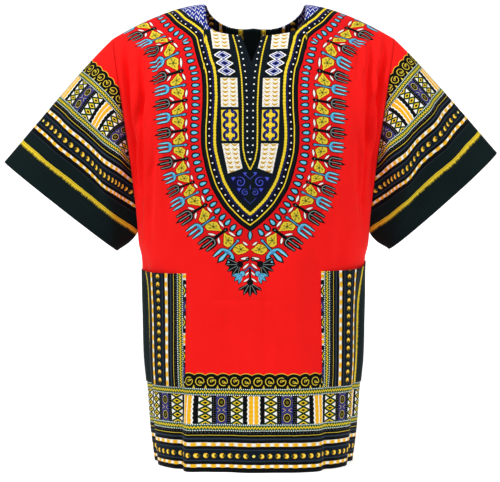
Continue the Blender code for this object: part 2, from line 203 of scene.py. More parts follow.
def foldDepth(panel, across, height):
    total = 0.0 * across
    for side, place, lean, top, bottom, width, depth in panelFolds[panel]:
        down = (top - height) / (top - bottom)
        middle = side * (place + lean * down)
        fade = ease((top - height) / shirt["foldFade"]) * ease((height - bottom) / shirt["foldFade"])
        total = total + depth * fade * troughShape((across - middle) / width)
    return total


def finishPoint(point, panel="front"):
    turn = -1.0 if panel == "back" else 1.0
    return point * np.array([turn, turn, 1.0]) + np.array([0.0, 0.0, shirt["neckHeight"]])


def topShare(panel, across):  # where a column ends: at the shoulder seam, the neckline or the neck slit
    neck = shirt["neckHalf"] / shirt["ridgeHalf"]
    shift = shirt["neckShift"] / shirt["ridgeHalf"] * (1.0 if panel == "front" else -1.0)
    place = np.minimum(np.abs(across - shift) / neck, 1.0)
    middle, corner = neckline[panel]["share"], neckline[panel]["corner"]
    line = 1.0 - (1.0 - middle) * (1.0 - place**corner) ** (1.0 / corner)
    if panel == "front":
        slit = np.minimum(np.abs(across * shirt["ridgeHalf"] - shirt["slitShift"]) / shirt["slitHalf"], 1.0)
        line = shirt["slitShare"] + (line - shirt["slitShare"]) * slit
    return line


def steps(knots):
    places = [knots[0][0]]
    for (start, _), (end, count) in zip(knots, knots[1:]):
        places += [start + (end - start) * (k + 1) / count for k in range(count)]
    return np.array(places)


neckPlace = shirt["neckHalf"] / shirt["ridgeHalf"]
slitPlace = shirt["slitHalf"] / shirt["ridgeHalf"]
panelMesh = {  # places across a half panel and up it, with the number of steps that lead to each
    "columns": [(0.0, 0), (slitPlace, 8), (0.285, 16), (neckPlace, 14), (0.455, 9), (0.985, 43), (1.0, 1)],
    "rows": [(0.0, 0), (0.347, 42), (0.811, 56), (1.0, 23), (1.985, 119), (2.0, 1)],
}


def panelColumns(panel):
    half = steps(panelMesh["columns"])
    neckShift = shirt["neckShift"] / shirt["ridgeHalf"] * (1 if panel == "front" else -1)
    slitShift = shirt["slitShift"] / shirt["ridgeHalf"] if panel == "front" else neckShift
    places = np.concatenate([-half[:0:-1], half]) * (1.0 - shirt["seam"] / shirt["acrossLength"])
    toNeck = ease((np.abs(places) - slitPlace) / (neckPlace - slitPlace))
    shift = slitShift + (neckShift - slitShift) * toNeck
    return places + shift * (1.0 - ease((np.abs(places) - neckPlace) / shirt["neckBlend"]))


def panelPlaces(panel):  # the across and up of each grid point, trimmed at the panel's top
    across = panelColumns(panel)
    row = steps(panelMesh["rows"])[:, None]
    end = topShare(panel, across) - shirt["seam"] / shirt["upLength"]
    up = np.where(row <= 1.0, row, 1.0 + (row - 1.0) * end)
    return np.broadcast_to(across, up.shape), up


def lengthAlong(points, axis):  # the length from a grid's first points to each of the others
    gaps = np.linalg.norm(np.diff(points, axis=axis), axis=-1)
    return np.cumsum(np.insert(gaps, 0, 0.0, axis=axis), axis=axis)


def flatTable(panel, columns=401, rows=401):  # lengths over the unfolded cloth, from its middle and from its hem
    across, up = np.meshgrid(np.linspace(-1, 1, columns), np.linspace(0, 2, rows))
    points = barePoint(panel, across, up)
    lengths = lengthAlong(points, 1)
    return lengths - lengths[:, [columns // 2]], lengthAlong(points, 0)


def readGrid(table, across, up):
    rows, columns = table.shape
    x = np.clip((across + 1.0) / 2 * (columns - 1), 0, columns - 1.000001)
    y = np.clip(up / 2 * (rows - 1), 0, rows - 1.000001)
    i, j = x.astype(int), y.astype(int)
    s, t = x - i, y - j
    low = table[j, i] * (1 - s) + table[j, i + 1] * s
    return low * (1 - t) + (table[j + 1, i] * (1 - s) + table[j + 1, i + 1] * s) * t


def alongLine(line, x, y):  # the length along a line of points, and the distance to its right
    best = np.full(x.shape, np.inf)
    along, aside = np.zeros(x.shape), np.zeros(x.shape)
    run = 0.0
    for (startX, startY), (endX, endY) in zip(line, line[1:]):
        length = math.hypot(endX - startX, endY - startY)
        wayX, wayY = (endX - startX) / length, (endY - startY) / length
        t = np.clip((x - startX) * wayX + (y - startY) * wayY, 0.0, length)
        offX, offY = x - startX - t * wayX, y - startY - t * wayY
        distance = np.hypot(offX, offY)
        closer = distance < best
        along = np.where(closer, run + t, along)
        aside = np.where(closer, np.where(wayY * offX > wayX * offY, distance, -distance), aside)
        best = np.minimum(best, distance)
        run += length
    return along, aside


def smoothLine(points, places):  # a smooth curve through numbered points
    table = [{"at": k, "x": x, "y": y} for k, (x, y) in enumerate(points)]
    return np.stack([readTable(table, "at", places, "x"), readTable(table, "at", places, "y")], axis=-1)


# where the breast print lies on the cloth, in metres from its middle line and up from the hem
breastPrint = {
    "middle": -0.0058,  # the print's middle line, from the panel's
    "outline": [
        (0.0000, 0.3875), (0.0150, 0.3985), (0.0275, 0.4100), (0.0405, 0.4240), (0.0515, 0.4405), (0.0615, 0.4585),
        (0.0685, 0.4790), (0.0742, 0.5000), (0.0782, 0.5220), (0.0790, 0.5520), (0.0775, 0.5810), (0.0770, 0.6130),
        (0.0793, 0.6465), (0.0850, 0.6660), (0.0892, 0.6845), (0.0925, 0.6980), (0.0955, 0.7105), (0.1065, 0.7230),
        (0.1252, 0.7410), (0.1380, 0.7620), (0.1463, 0.7792), (0.1530, 0.8000), (0.1580, 0.8200),
    ],
    "knobs": [  # the small knobs that the forks of the outer ring grow from, mirrored at its ends
        (-0.0182, 0.3717), (0.0000, 0.3635), (0.0182, 0.3717), (0.0377, 0.3888), (0.0577, 0.4087), (0.0712, 0.4285),
        (0.0839, 0.4490), (0.0925, 0.4652), (0.1002, 0.4815), (0.1035, 0.5028), (0.1047, 0.5256), (0.1058, 0.5500),
        (0.1069, 0.5758), (0.1058, 0.5996), (0.1078, 0.6258), (0.1130, 0.6504), (0.1195, 0.6833), (0.1300, 0.7055),
        (0.1424, 0.7156), (0.1620, 0.7350), (0.1800, 0.7650), (0.1900, 0.8000),
    ],
    "tips": [  # where each fork's middle prong ends
        (-0.0500, 0.3379), (0.0000, 0.3105), (0.0500, 0.3379), (0.0795, 0.3583), (0.1010, 0.3790), (0.1203, 0.4009),
        (0.1351, 0.4254), (0.1430, 0.4472), (0.1490, 0.4700), (0.1570, 0.4950), (0.1590, 0.5220), (0.1610, 0.5435),
        (0.1615, 0.5695), (0.1635, 0.5910), (0.1645, 0.6157), (0.1685, 0.6350), (0.1710, 0.6580), (0.1800, 0.6840),
        (0.1960, 0.7020), (0.2120, 0.7180), (0.2300, 0.7500), (0.2400, 0.7950),
    ],
    "innerLine": [  # height and half width of the beaded line round the placket
        (0.4700, 0.0000), (0.4838, 0.0000), (0.5000, 0.0078), (0.5190, 0.0115), (0.5500, 0.0120), (0.5920, 0.0120),
        (0.6380, 0.0140), (0.6600, 0.0168), (0.6800, 0.0197), (0.7000, 0.0238), (0.7238, 0.0298), (0.7600, 0.0400),
    ],
    "blockInner": [  # height and distance out of the blocks' inner edges, and of their outer edges
        (0.4700, 0.0080), (0.4850, 0.0117), (0.5050, 0.0165), (0.5260, 0.0180), (0.5830, 0.0195), (0.6380, 0.0210),
        (0.6420, 0.0230), (0.6865, 0.0330), (0.7270, 0.0370), (0.7700, 0.0480),
    ],
    "blockOuter": [
        (0.4700, 0.0345), (0.4760, 0.0355), (0.5260, 0.0462), (0.5830, 0.0479), (0.6380, 0.0492), (0.6420, 0.0517),
        (0.6865, 0.0613), (0.7270, 0.0660), (0.7700, 0.0740),
    ],
    "reach": 0.104,  # how far outside the outline the ring goes
    "foot": (0.060, 0.270),  # half width of the ring's foot, and its lowest height
    "borderTop": 0.165,  # below this the hem's border is printed
}


def ringPlaces(x, y):
    outline = breastPrint["outline"]
    line = smoothLine(outline, np.linspace(0, len(outline) - 1, 160))
    return alongLine(line, np.abs(x), y)


def forkPlaces(x, y):  # which fork, counted from 0 at the bottom, and how far along it from knob (0) to tip (1)
    knobs, tips = breastPrint["knobs"], breastPrint["tips"]
    last = len(knobs) - 1
    fine = np.linspace(0, last, 20 * last + 1)
    root = smoothLine(knobs, fine)
    reach = smoothLine(tips, fine) - root
    x = np.abs(x)
    middle = root + 0.5 * reach
    place = np.empty(x.size)
    for start in range(0, x.size, 4000):
        part = slice(start, start + 4000)
        gaps = np.hypot(x.ravel()[part, None] - middle[:, 0], y.ravel()[part, None] - middle[:, 1])
        place[part] = fine[np.argmin(gaps, axis=1)]
    place = place.reshape(x.shape)
    share = np.full(x.shape, 0.5)
    slopeRoot, slopeReach = np.gradient(root, fine, axis=0), np.gradient(reach, fine, axis=0)

    def read(values):
        return np.stack([np.interp(place, fine, values[:, 0]), np.interp(place, fine, values[:, 1])], axis=-1)

    for _ in range(12):
        way = read(reach)
        off = read(root) + share[..., None] * way - np.stack([x, y], axis=-1)
        turn = read(slopeRoot) + share[..., None] * read(slopeReach)
        area = turn[..., 0] * way[..., 1] - turn[..., 1] * way[..., 0]
        area = np.where(np.abs(area) < 1e-7, 1e-7, area)
        stepPlace = (off[..., 0] * way[..., 1] - off[..., 1] * way[..., 0]) / area
        stepShare = (turn[..., 0] * off[..., 1] - turn[..., 1] * off[..., 0]) / area
        place = np.clip(place - np.clip(stepPlace, -1, 1), 0, last)
        share = np.clip(share - np.clip(stepShare, -0.5, 0.5), -2, 3)
    return place - 1, share


def blockPlaces(x, y):  # the distance out from the inner beaded line, and the share across the blocks beside it
    line, start, end = (
        np.interp(y, *zip(*breastPrint[name])) for name in ("innerLine", "blockInner", "blockOuter")
    )
    return np.abs(x) - line, (np.abs(x) - start) / (end - start)


def addObject(name, data):
    item = bpy.data.objects.new(name, data)
    bpy.context.scene.collection.objects.link(item)
    return item


def declare(piece, node=None):  # node is the solid that the piece stands for
    if node:
        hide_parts(node)
    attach(piece, "root")


def clothSheet(name, points, maps, node=None, zones=None, closed=False):
    # a grid of points, thickened towards its inside
    rows, columns = points.shape[:2]
    bm = bmesh.new()
    bmesh.ops.create_grid(bm, x_segments=columns - 1, y_segments=rows - 1, size=1.0)
    mesh = bpy.data.meshes.new(name)
    bm.to_mesh(mesh)
    places = np.empty(3 * len(mesh.vertices), np.float32)
    mesh.vertices.foreach_get("co", places)
    places = (places.reshape(-1, 3) + 1.0) / 2
    i = np.rint(places[:, 0] * (columns - 1)).astype(int)
    j = np.rint(places[:, 1] * (rows - 1)).astype(int)
    mesh.vertices.foreach_set("co", points[j, i].astype(np.float32).ravel())
    corners = np.empty(len(mesh.loops), np.int32)
    mesh.loops.foreach_get("vertex_index", corners)
    for mapName, (u, v) in maps.items():
        layer = mesh.uv_layers.new(name=mapName)
        layer.data.foreach_set("uv", np.stack([u[j, i], v[j, i]], axis=-1)[corners].astype(np.float32).ravel())
    if zones is not None:
        mesh.polygons.foreach_set("material_index", zones[j, i][corners].reshape(-1, 4).max(axis=1).astype(np.int32))
    if closed:
        bm.clear()
        bm.from_mesh(mesh)
        bmesh.ops.remove_doubles(bm, verts=bm.verts, dist=2e-6)
        bm.to_mesh(mesh)
    bm.free()
    mesh.shade_smooth()
    piece = addObject(name, mesh)
    wall = piece.modifiers.new("wall", "SOLIDIFY")
    wall.thickness = shirt["wall"]
    wall.offset = -1.0
    declare(piece, node)
    return piece


def gridNormals(points):
    return unit(np.cross(np.gradient(points, axis=1), np.gradient(points, axis=0)))


def creaseDepth(creases, x, y):  # small creases drawn as lines on the flat cloth; depth fades at both ends
    total = 0.0 * x
    for points, width, depth in creases:
        line = smoothLine(points, np.linspace(0, len(points) - 1, 12 * len(points)))
        along, aside = alongLine(line, x, y)
        length = np.hypot(*np.diff(line, axis=0).T).sum()
        fade = ease(along / (0.25 * length)) * ease((length - along) / (0.25 * length))
        total = total + depth * fade * troughShape(aside / width)
    return total


panelCreases = {  # lines of (from the panel's middle, above the hem), width, depth inwards
    "front": [
        ([(-0.190, 0.425), (-0.150, 0.421), (-0.088, 0.415)], 0.0040, 0.0010),
        ([(0.075, 0.398), (0.130, 0.399), (0.196, 0.398)], 0.0040, 0.0010),
        ([(-0.087, 0.277), (-0.020, 0.275), (0.074, 0.275)], 0.0040, 0.0008),
        ([(0.101, 0.364), (0.101, 0.320), (0.100, 0.275)], 0.0040, 0.0008),
        (
            [(-0.186, 0.665), (-0.196, 0.608), (-0.211, 0.575), (-0.220, 0.540), (-0.225, 0.470), (-0.215, 0.380)],
            0.0085,
            0.0078,
        ),
        ([(-0.210, 0.680), (-0.212, 0.650), (-0.216, 0.620)], 0.0060, 0.0042),
        ([(-0.256, 0.670), (-0.255, 0.600), (-0.250, 0.530)], 0.0110, 0.0090),
        ([(-0.165, 0.520), (-0.185, 0.480), (-0.215, 0.430)], 0.0070, 0.0020),
        ([(-0.172, 0.640), (-0.178, 0.600), (-0.182, 0.560)], 0.0065, 0.0022),
        (
            [(0.203, 0.705), (0.229, 0.640), (0.217, 0.592), (0.211, 0.551), (0.222, 0.510), (0.226, 0.400)],
            0.0090,
            0.0080,
        ),
        ([(0.258, 0.680), (0.256, 0.610), (0.252, 0.540)], 0.0100, 0.0070),
        ([(0.188, 0.700), (0.190, 0.665), (0.198, 0.625)], 0.0060, 0.0034),
        ([(0.170, 0.500), (0.190, 0.455), (0.226, 0.420)], 0.0070, 0.0016),
        ([(-0.118, 0.240), (-0.121, 0.160), (-0.119, 0.060)], 0.0070, 0.0022),
        ([(0.030, 0.245), (0.036, 0.170), (0.034, 0.080)], 0.0100, 0.0016),
    ],
    "back": [
        ([(-0.150, 0.420), (-0.060, 0.416), (0.020, 0.417)], 0.0040, 0.0009),
        ([(0.060, 0.402), (0.120, 0.400), (0.180, 0.403)], 0.0040, 0.0009),
        ([(0.004, 0.330), (0.001, 0.240), (0.003, 0.160)], 0.0045, 0.0009),
        ([(-0.210, 0.690), (-0.204, 0.610), (-0.209, 0.520), (-0.198, 0.440)], 0.0080, 0.0036),
        ([(0.198, 0.720), (0.207, 0.640), (0.203, 0.560), (0.212, 0.470)], 0.0080, 0.0040),
        ([(0.150, 0.480), (0.170, 0.430), (0.206, 0.400)], 0.0070, 0.0018),
        ([(-0.040, 0.300), (-0.052, 0.210), (-0.047, 0.110)], 0.0090, 0.0018),
    ],
}


def makePanel(panel):
    across, up = panelPlaces(panel)
    lengths, heights = flatTable(panel)
    flatX, flatY = readGrid(lengths, across, up), readGrid(heights, across, up)
    bare = barePoint(panel, across, up)
    held = ease((1.0 - np.abs(across)) / shirt["sideHold"]) * ease((2.0 - up) / shirt["topHold"])
    inward = foldDepth(panel, across, bare[..., 2]) + creaseDepth(panelCreases[panel], flatX, flatY)
    points = finishPoint(bare - outwardNormal(panel, across, up) * (inward * held)[..., None], panel)
    printX, printY = flatX - breastPrint["middle"], flatY
    if panel == "back":  # as high on the shoulders as in front
        shoulder = (np.array(0.5), np.array(2.0))
        higher = readGrid(flatTable("front")[1], *shoulder) - readGrid(heights, *shoulder)
        printX, printY = flatX, flatY + float(higher)
    maps = {"cloth": (flatX, flatY), "breast": (printX, printY)}
    for name, places in (("ring", ringPlaces), ("forks", forkPlaces), ("blocks", blockPlaces)):
        maps[name] = places(printX, printY)
    footHalf, footLow = breastPrint["foot"]
    inFoot = (np.abs(printX) < footHalf) & (printY > footLow)
    # plain red, the breast print or the hem's border
    zones = np.where((maps["ring"][1] < breastPrint["reach"]) | inFoot, 1, 0)
    zones = np.where(flatY < breastPrint["borderTop"], 2, zones)
    return clothSheet(f"{panel}_cloth", points, maps, panel, zones), points, flatX, flatY


print("front and back")
front, frontPoints, frontX, frontY = makePanel("front")
back, backPoints, backX, backY = makePanel("back")


sleeves = {
    "sleeve_left": {
        "side": -1,
        "cuffTop": (0.4220, -0.2670),  # outwards from the middle, and height from the neck points
        "cuffLow": (0.2305, -0.4175),
        "bow": 0.001,
        "folds": [  # around in degrees, width, depth, start and end along the sleeve
            (62, 15, 0.006, 0.15, 1.00),
            (118, 15, 0.011, 0.00, 0.75),
            (255, 20, 0.009, 0.10, 1.00),
        ],
    },
    "sleeve_right": {
        "side": 1,
        "cuffTop": (0.4120, -0.2510),
        "cuffLow": (0.2290, -0.4145),
        "bow": 0.004,
        "folds": [
            (66, 15, 0.011, 0.20, 1.10),
            (112, 14, 0.013, 0.00, 0.85),
            (250, 20, 0.009, 0.10, 1.00),
        ],
    },
}
sleeveFlow = {
    "top": {"out": 0.053, "forward": 0.000, "down": 0.050, "arrive": 0.085},
    "middle": {"out": 0.060, "forward": 0.045, "down": 0.012, "arrive": 0.085},
    "underarm": {"out": 0.010, "forward": 0.000, "down": 0.022, "arrive": 0.006},
}
cuff = {
    "halfDepth": 0.038,
    "bowing": 0.85,
    "back": 0.006,
    "ridgeClearance": 0.0003,
    "border": 0.070,  # width of the plain dark band
    "printShift": 0.020,
    "turned": 0.030,  # depth of the turning, and where it is stitched
    "stitched": 0.027,
    "turnGap": 0.0002,
    "columns": 211,
    "rows": 91,
}
slope = np.array([0.652, 0.0, -0.758])


def armholePoint(side, around):  # degrees from the shoulder tip (0) by the front (90) to the armpit (180)
    around = np.mod(around, 360.0)
    inFront = around <= 180.0
    share = 1.0 - np.where(inFront, around, 360.0 - around) / 180.0
    one = np.ones_like(share)
    ahead = columnPoint("front", one, share)
    behind = columnPoint("back", one, share) * np.array([1.0, -1.0, 1.0])
    point = np.where(inFront[..., None], ahead, behind)
    return point * np.array([side, 1.0, 1.0])


def cuffPoint(sleeve, around):
    angle = np.radians(around)
    top = np.array([sleeve["cuffTop"][0], 0.0, sleeve["cuffTop"][1]])
    low = np.array([sleeve["cuffLow"][0], 0.0, sleeve["cuffLow"][1]])
    deep = np.sign(np.sin(angle)) * np.abs(np.sin(angle)) ** cuff["bowing"]
    point = (top + low) / 2 + (top - low) / 2 * np.cos(angle)[..., None]
    point = point + slope * (sleeve["bow"] * np.maximum(0.0, deep))[..., None]
    point[..., 1] = -cuff["halfDepth"] * deep - cuff["back"]
    point[..., 0] *= sleeve["side"]
    return point


def sleeveBare(sleeve, around, share):
    around, share = np.broadcast_arrays(around, share)
    side = sleeve["side"]
    start, end = armholePoint(side, around), cuffPoint(sleeve, around)
    angle = np.radians(around)
    weight = np.cos(angle) ** 2
    nearTop = np.cos(angle) > 0
    flow = {
        key: weight * np.where(nearTop, sleeveFlow["top"][key], sleeveFlow["underarm"][key])
        + (1.0 - weight) * sleeveFlow["middle"][key]
        for key in sleeveFlow["middle"]
    }
    leave = vectors(side * flow["out"], -flow["forward"] * np.sin(angle), -flow["down"])
    clearance = shirt["seam"] + cuff["ridgeClearance"] * np.maximum(0.0, np.cos(angle)) ** 2
    startShare = clearance / (3.0 * np.linalg.norm(leave, axis=-1))
    share = (startShare + (1.0 - startShare) * share)[..., None]
    first = start + leave
    second = end - slope * np.array([side, 1.0, 1.0]) * flow["arrive"][..., None]
    rest = 1.0 - share
    return rest**3 * start + 3 * rest**2 * share * first + 3 * rest * share**2 * second + share**3 * end


def sleeveFold(sleeve, around, share):
    total = 0.0 * share
    for place, width, depth, start, end in sleeve["folds"]:
        fade = ease((share - start) / (0.25 if start > 0.0 else 0.15)) * ease((end - share) / 0.25)
        total = total + depth * fade * troughShape((np.mod(around, 360.0) - place) / width)
    return total


def makeSleeve(name):
    sleeve = sleeves[name]
    side = sleeve["side"]
    around = np.linspace(180.0, -180.0, cuff["columns"])  # starts and ends under the arm, where the sleeve is joined
    if side < 0:
        around = around[::-1]
    share = np.linspace(1.0, 0.0, cuff["rows"])[:, None]
    bare = sleeveBare(sleeve, around, share)
    ahead, behind = (sleeveBare(sleeve, around, np.clip(share + step, 0.0, 1.0)) for step in (0.01, -0.01))
    along = ahead - behind
    turn = sleeveBare(sleeve, around + 3, share) - sleeveBare(sleeve, around - 3, share)
    normal = unit(np.cross(along, turn)) * side
    around, share = np.broadcast_arrays(around, share)
    points = finishPoint(bare - normal * sleeveFold(sleeve, around, share)[..., None])
    lengths, heights = lengthAlong(bare, 1), lengthAlong(bare, 0)
    lengths = (lengths - lengths[:, [cuff["columns"] // 2]]) * side
    maps = {"cloth": (lengths, heights), "border": (lengths + cuff["printShift"], heights - cuff["border"])}
    turned = heights.max(axis=1) < cuff["turned"]
    row = int(np.argmin(np.abs(heights.mean(axis=1) - cuff["stitched"])))
    inner = points[turned] - gridNormals(points)[turned] * (shirt["wall"] + cuff["turnGap"])
    turnMaps = {key: (u[turned], v[turned]) for key, (u, v) in maps.items()}
    cuffTurns.append(clothSheet(f"{name}_cuff_turn", inner, turnMaps, closed=True))
    cuffRows.append((points, row))
    return clothSheet(f"{name}_cloth", points, maps, node=name, closed=True)


print("sleeves")
cuffTurns, cuffRows = [], []
sleevePieces = [makeSleeve(name) for name in sleeves]

pockets = {
    "pocket_left": {"side": -1, "mouthLift": 0.004, "mouthRise": 0.006},
    "pocket_right": {"side": 1, "mouthLift": 0.008, "mouthRise": 0.016},
}
pocketCut = {"inner": 0.455, "outer": 0.985, "low": 0.347, "top": 0.811, "gape": 0.004, "edge": 0.114, "stripe": 0.080}
hemTurn = {"height": 0.023, "gap": 0.0002}
facingCut = {"low": 1.80, "half": neckPlace - 0.02, "clearance": 0.0005, "middle": 0.0022, "stripe": 0.045}


def onFront(columns, heights):  # the front's points and outward normals at flat heights along some of its columns
    places = np.arange(len(frontY), dtype=float)
    rows = np.stack([np.interp(heights[:, k], frontY[:, c], places) for k, c in enumerate(columns)], axis=1)
    low = np.minimum(rows.astype(int), len(frontY) - 2)
    part = (rows - low)[..., None]
    return [grid[low, columns] * (1 - part) + grid[low + 1, columns] * part for grid in (frontPoints, frontNormals)]


def makePocket(name):
    pocket = pockets[name]
    half = steps(panelMesh["columns"])
    rows = steps(panelMesh["rows"])
    middle = len(half) - 1
    inside = np.nonzero((half >= pocketCut["inner"] - 1e-6) & (half <= pocketCut["outer"] + 1e-6))[0]
    columns = np.sort(middle + pocket["side"] * inside)
    lines = np.nonzero((rows >= pocketCut["low"] - 1e-6) & (rows <= pocketCut["top"] + 1e-6))[0]
    rise = np.linspace(0.0, 1.0, len(lines))[:, None]
    out = np.linspace(0.0, 1.0, len(columns))
    if pocket["side"] < 0:
        out = out[::-1]
    gape = pocketCut["gape"] * rise**4 * np.sin(math.pi * out) ** 2
    cells = np.ix_(lines, columns)
    lift = (pocket["mouthLift"] + pocket["mouthRise"] * out**2.5) * ease((rise - 0.80) / 0.20)
    points, normals = onFront(columns, frontY[cells] + lift)
    points = points + normals * (shirt["wall"] + shirt["seam"] + gape)[..., None]
    pocketGrids.append(points)
    flatX, flatY = frontX[cells], frontY[cells] + lift
    border = pocketCut["stripe"] - (np.abs(flatX) - pocketCut["edge"])
    return clothSheet(f"{name}_cloth", points, {"cloth": (flatX, flatY), "border": (flatY, border)}, node=name)


def makeFacing():
    columns = np.nonzero(np.abs(panelColumns("back")) < facingCut["half"])[0]
    rows = np.nonzero(steps(panelMesh["rows"]) > facingCut["low"])[0]
    cells = np.ix_(rows, columns)
    normals = gridNormals(backPoints)
    points = backPoints[cells] - normals[cells] * (shirt["wall"] + facingCut["clearance"])
    flatX, flatY = backX[cells], backY[cells]
    maps = {"cloth": (flatX, flatY), "border": (flatY, np.abs(flatX - facingCut["middle"]) - facingCut["stripe"])}
    return clothSheet("neck_facing_cloth", points, maps, node="neck_facing")


def makeHemTurn(panel, points, flatX, flatY):  # the hem's turned edge, inside the panel
    turned = flatY.max(axis=1) < hemTurn["height"]
    inner = points[turned] - gridNormals(points)[turned] * (shirt["wall"] + hemTurn["gap"])
    inner, flatX, flatY = inner[:, 2:-2], flatX[turned][:, 2:-2], flatY[turned][:, 2:-2]
    return clothSheet(f"{panel}_hem_turn", inner, {"cloth": (flatX, flatY)})


print("pockets and neck facing")
hemTurns = [
    makeHemTurn(panel, points, flatX, flatY)
    for panel, points, flatX, flatY in (("front", frontPoints, frontX, frontY), ("back", backPoints, backX, backY))
]
pocketGrids = []
frontNormals = gridNormals(frontPoints)
pocketPieces = [makePocket(name) for name in pockets]
facing = makeFacing()


class Wire:  # a node's output, on which sums add nodes
    def __init__(self, paint, socket):
        self.paint = paint
        self.socket = socket

    def math(self, operation, *others):
        return self.paint.node("ShaderNodeMath", {"operation": operation}, dict(enumerate([self, *others])))

    def __add__(self, other):
        return self.math("ADD", other)

    def __sub__(self, other):
        return self.math("SUBTRACT", other)

    def __rsub__(self, other):
        return self * -1.0 + other

    def __mul__(self, other):
        return self.math("MULTIPLY", other)

    def __truediv__(self, other):
        return self.math("DIVIDE", other)

    def __abs__(self):
        return self.math("ABSOLUTE")

    def __lt__(self, other):
        return self.math("LESS_THAN", other)

    def __gt__(self, other):
        return self.math("GREATER_THAN", other)

    def most(self, *others):
        for other in others:
            self = self.math("MAXIMUM", other)
        return self

    def least(self, *others):
        for other in others:
            self = self.math("MINIMUM", other)
        return self

    def near(self, middle, half):  # 1 within half of the middle
        return self.math("COMPARE", middle, half)

    def repeat(self, pitch):  # the place within a repeat, counted from its middle
        return self.math("WRAP", pitch / 2, -pitch / 2)

    def waves(self, pitch, height):
        return self.math("PINGPONG", pitch / 2) * (2 * height / pitch)


class Paint:  # a material with its node tree
    def __init__(self, name):
        self.material = bpy.data.materials.new(name)
        self.material.use_nodes = True
        self.tree = self.material.node_tree
        self.shader = self.tree.nodes["Principled BSDF"]

    def node(self, kind, settings, inputs, output=0):
        node = self.tree.nodes.new(kind)
        for key, value in settings.items():
            setattr(node, key, value)
        for key, value in inputs.items():
            self.join(value, node.inputs[key])
        return Wire(self, node.outputs[output])

    def join(self, value, socket):
        if isinstance(value, Wire):
            self.tree.links.new(value.socket, socket)
        else:
            socket.default_value = value

    def mix(self, factor, under, over):
        tones = [(*tone, 1.0) if isinstance(tone, tuple) else tone for tone in (under, over)]
        settings = {"data_type": "RGBA"}
        return self.node("ShaderNodeMix", settings, {"Factor": factor, 6: tones[0], 7: tones[1]}, 2)

    def lay(self, where, tone):  # a dye printed over the colour so far
        self.colour = self.mix(where, self.colour, dye[tone] if isinstance(tone, str) else tone)

    def ramp(self, value, tones, low, high):  # hard edged bands, each from its own place up, the first from low
        share = (value - low if low else value) * (1 / (high - low))
        banded = self.node("ShaderNodeValToRGB", {}, {0: share})
        stops = banded.socket.node.color_ramp
        stops.interpolation = "CONSTANT"
        stops.elements.remove(stops.elements[-1])
        for k, (start, name) in enumerate(tones):
            stop = stops.elements[0] if k == 0 else stops.elements.new((start - low) / (high - low))
            stop.color = (*dye[name], 1.0)
        return banded

    def map(self, name):
        return self.node("ShaderNodeUVMap", {"uv_map": name}, {})

    def vector(self, operation, first, second):
        inputs = {0: first, 3 if operation == "SCALE" else 1: second}
        return self.node("ShaderNodeVectorMath", {"operation": operation}, inputs)

    def parts(self, vector):  # the first two parts of a vector
        first = self.node("ShaderNodeSeparateXYZ", {}, {0: vector})
        return first, Wire(self, first.socket.node.outputs[1])

    def bump(self, height, distance, strength):
        return self.node("ShaderNodeBump", {}, {"Height": height, "Distance": distance, "Strength": strength})

    def finish(self, values):  # the shader's own inputs, wired or constant
        for name, value in values.items():
            self.join(value, self.shader.inputs[name])
        return self.material

    def noise(self, vector, scale, detail=2.0, roughness=0.5, output=0, space="3D"):
        settings = {"noise_dimensions": space}
        inputs = {"Vector": vector, "Scale": scale, "Detail": detail, "Roughness": roughness}
        return self.node("ShaderNodeTexNoise", settings, inputs, output)


def tone(red, green, blue):  # screen colour, 0 to 255, to light
    return tuple(((c / 255 + 0.055) / 1.055) ** 2.4 if c > 10 else c / 255 / 12.92 for c in (red, green, blue))


dye = {  # screen colours
    "red": (253, 30, 27), "deepRed": (206, 8, 24), "black": (4, 6, 9), "navy": (8, 26, 40),
    "cuffGreen": (10, 30, 32), "grey": (104, 118, 130), "slate": (46, 60, 78), "lemon": (252, 236, 120),
    "white": (246, 246, 240), "cream": (252, 248, 232), "gold": (248, 192, 32), "yellow": (240, 212, 58),
    "paleGold": (222, 196, 96), "olive": (112, 108, 26), "green": (36, 92, 44), "teal": (44, 104, 118),
    "blue": (24, 44, 138), "violet": (78, 92, 208), "sky": (108, 198, 226), "ice": (176, 232, 246),
    "lake": (58, 118, 190), "royal": (34, 52, 150), "indigo": (22, 30, 92), "indigoNight": (8, 14, 54),
    "night": (6, 22, 32), "ash": (140, 154, 150), "mist": (206, 200, 214), "brass": (206, 168, 66),
    "mustard": (222, 200, 62), "moss": (92, 100, 26), "wine": (118, 8, 18),
}
dye = {name: tone(*screen) for name, screen in dye.items()}
cloth = {
    "roughness": 0.82,
    "specular": 0.16,
    "sheen": 0.03,
    "sheenRoughness": 0.45,
    "weave": 0.00055,  # from thread to thread
    "weaveDepth": 0.00006,
    "weaveStrength": 0.6,
    "variation": 0.10,  # unevenness of the dye, in blotches and in finer grains
    "blotches": 9.0,
    "grains": 900.0,
    "wobble": 0.0005,  # how unsteady the printed lines are, and how fast that changes
    "wobbles": 60.0,
}
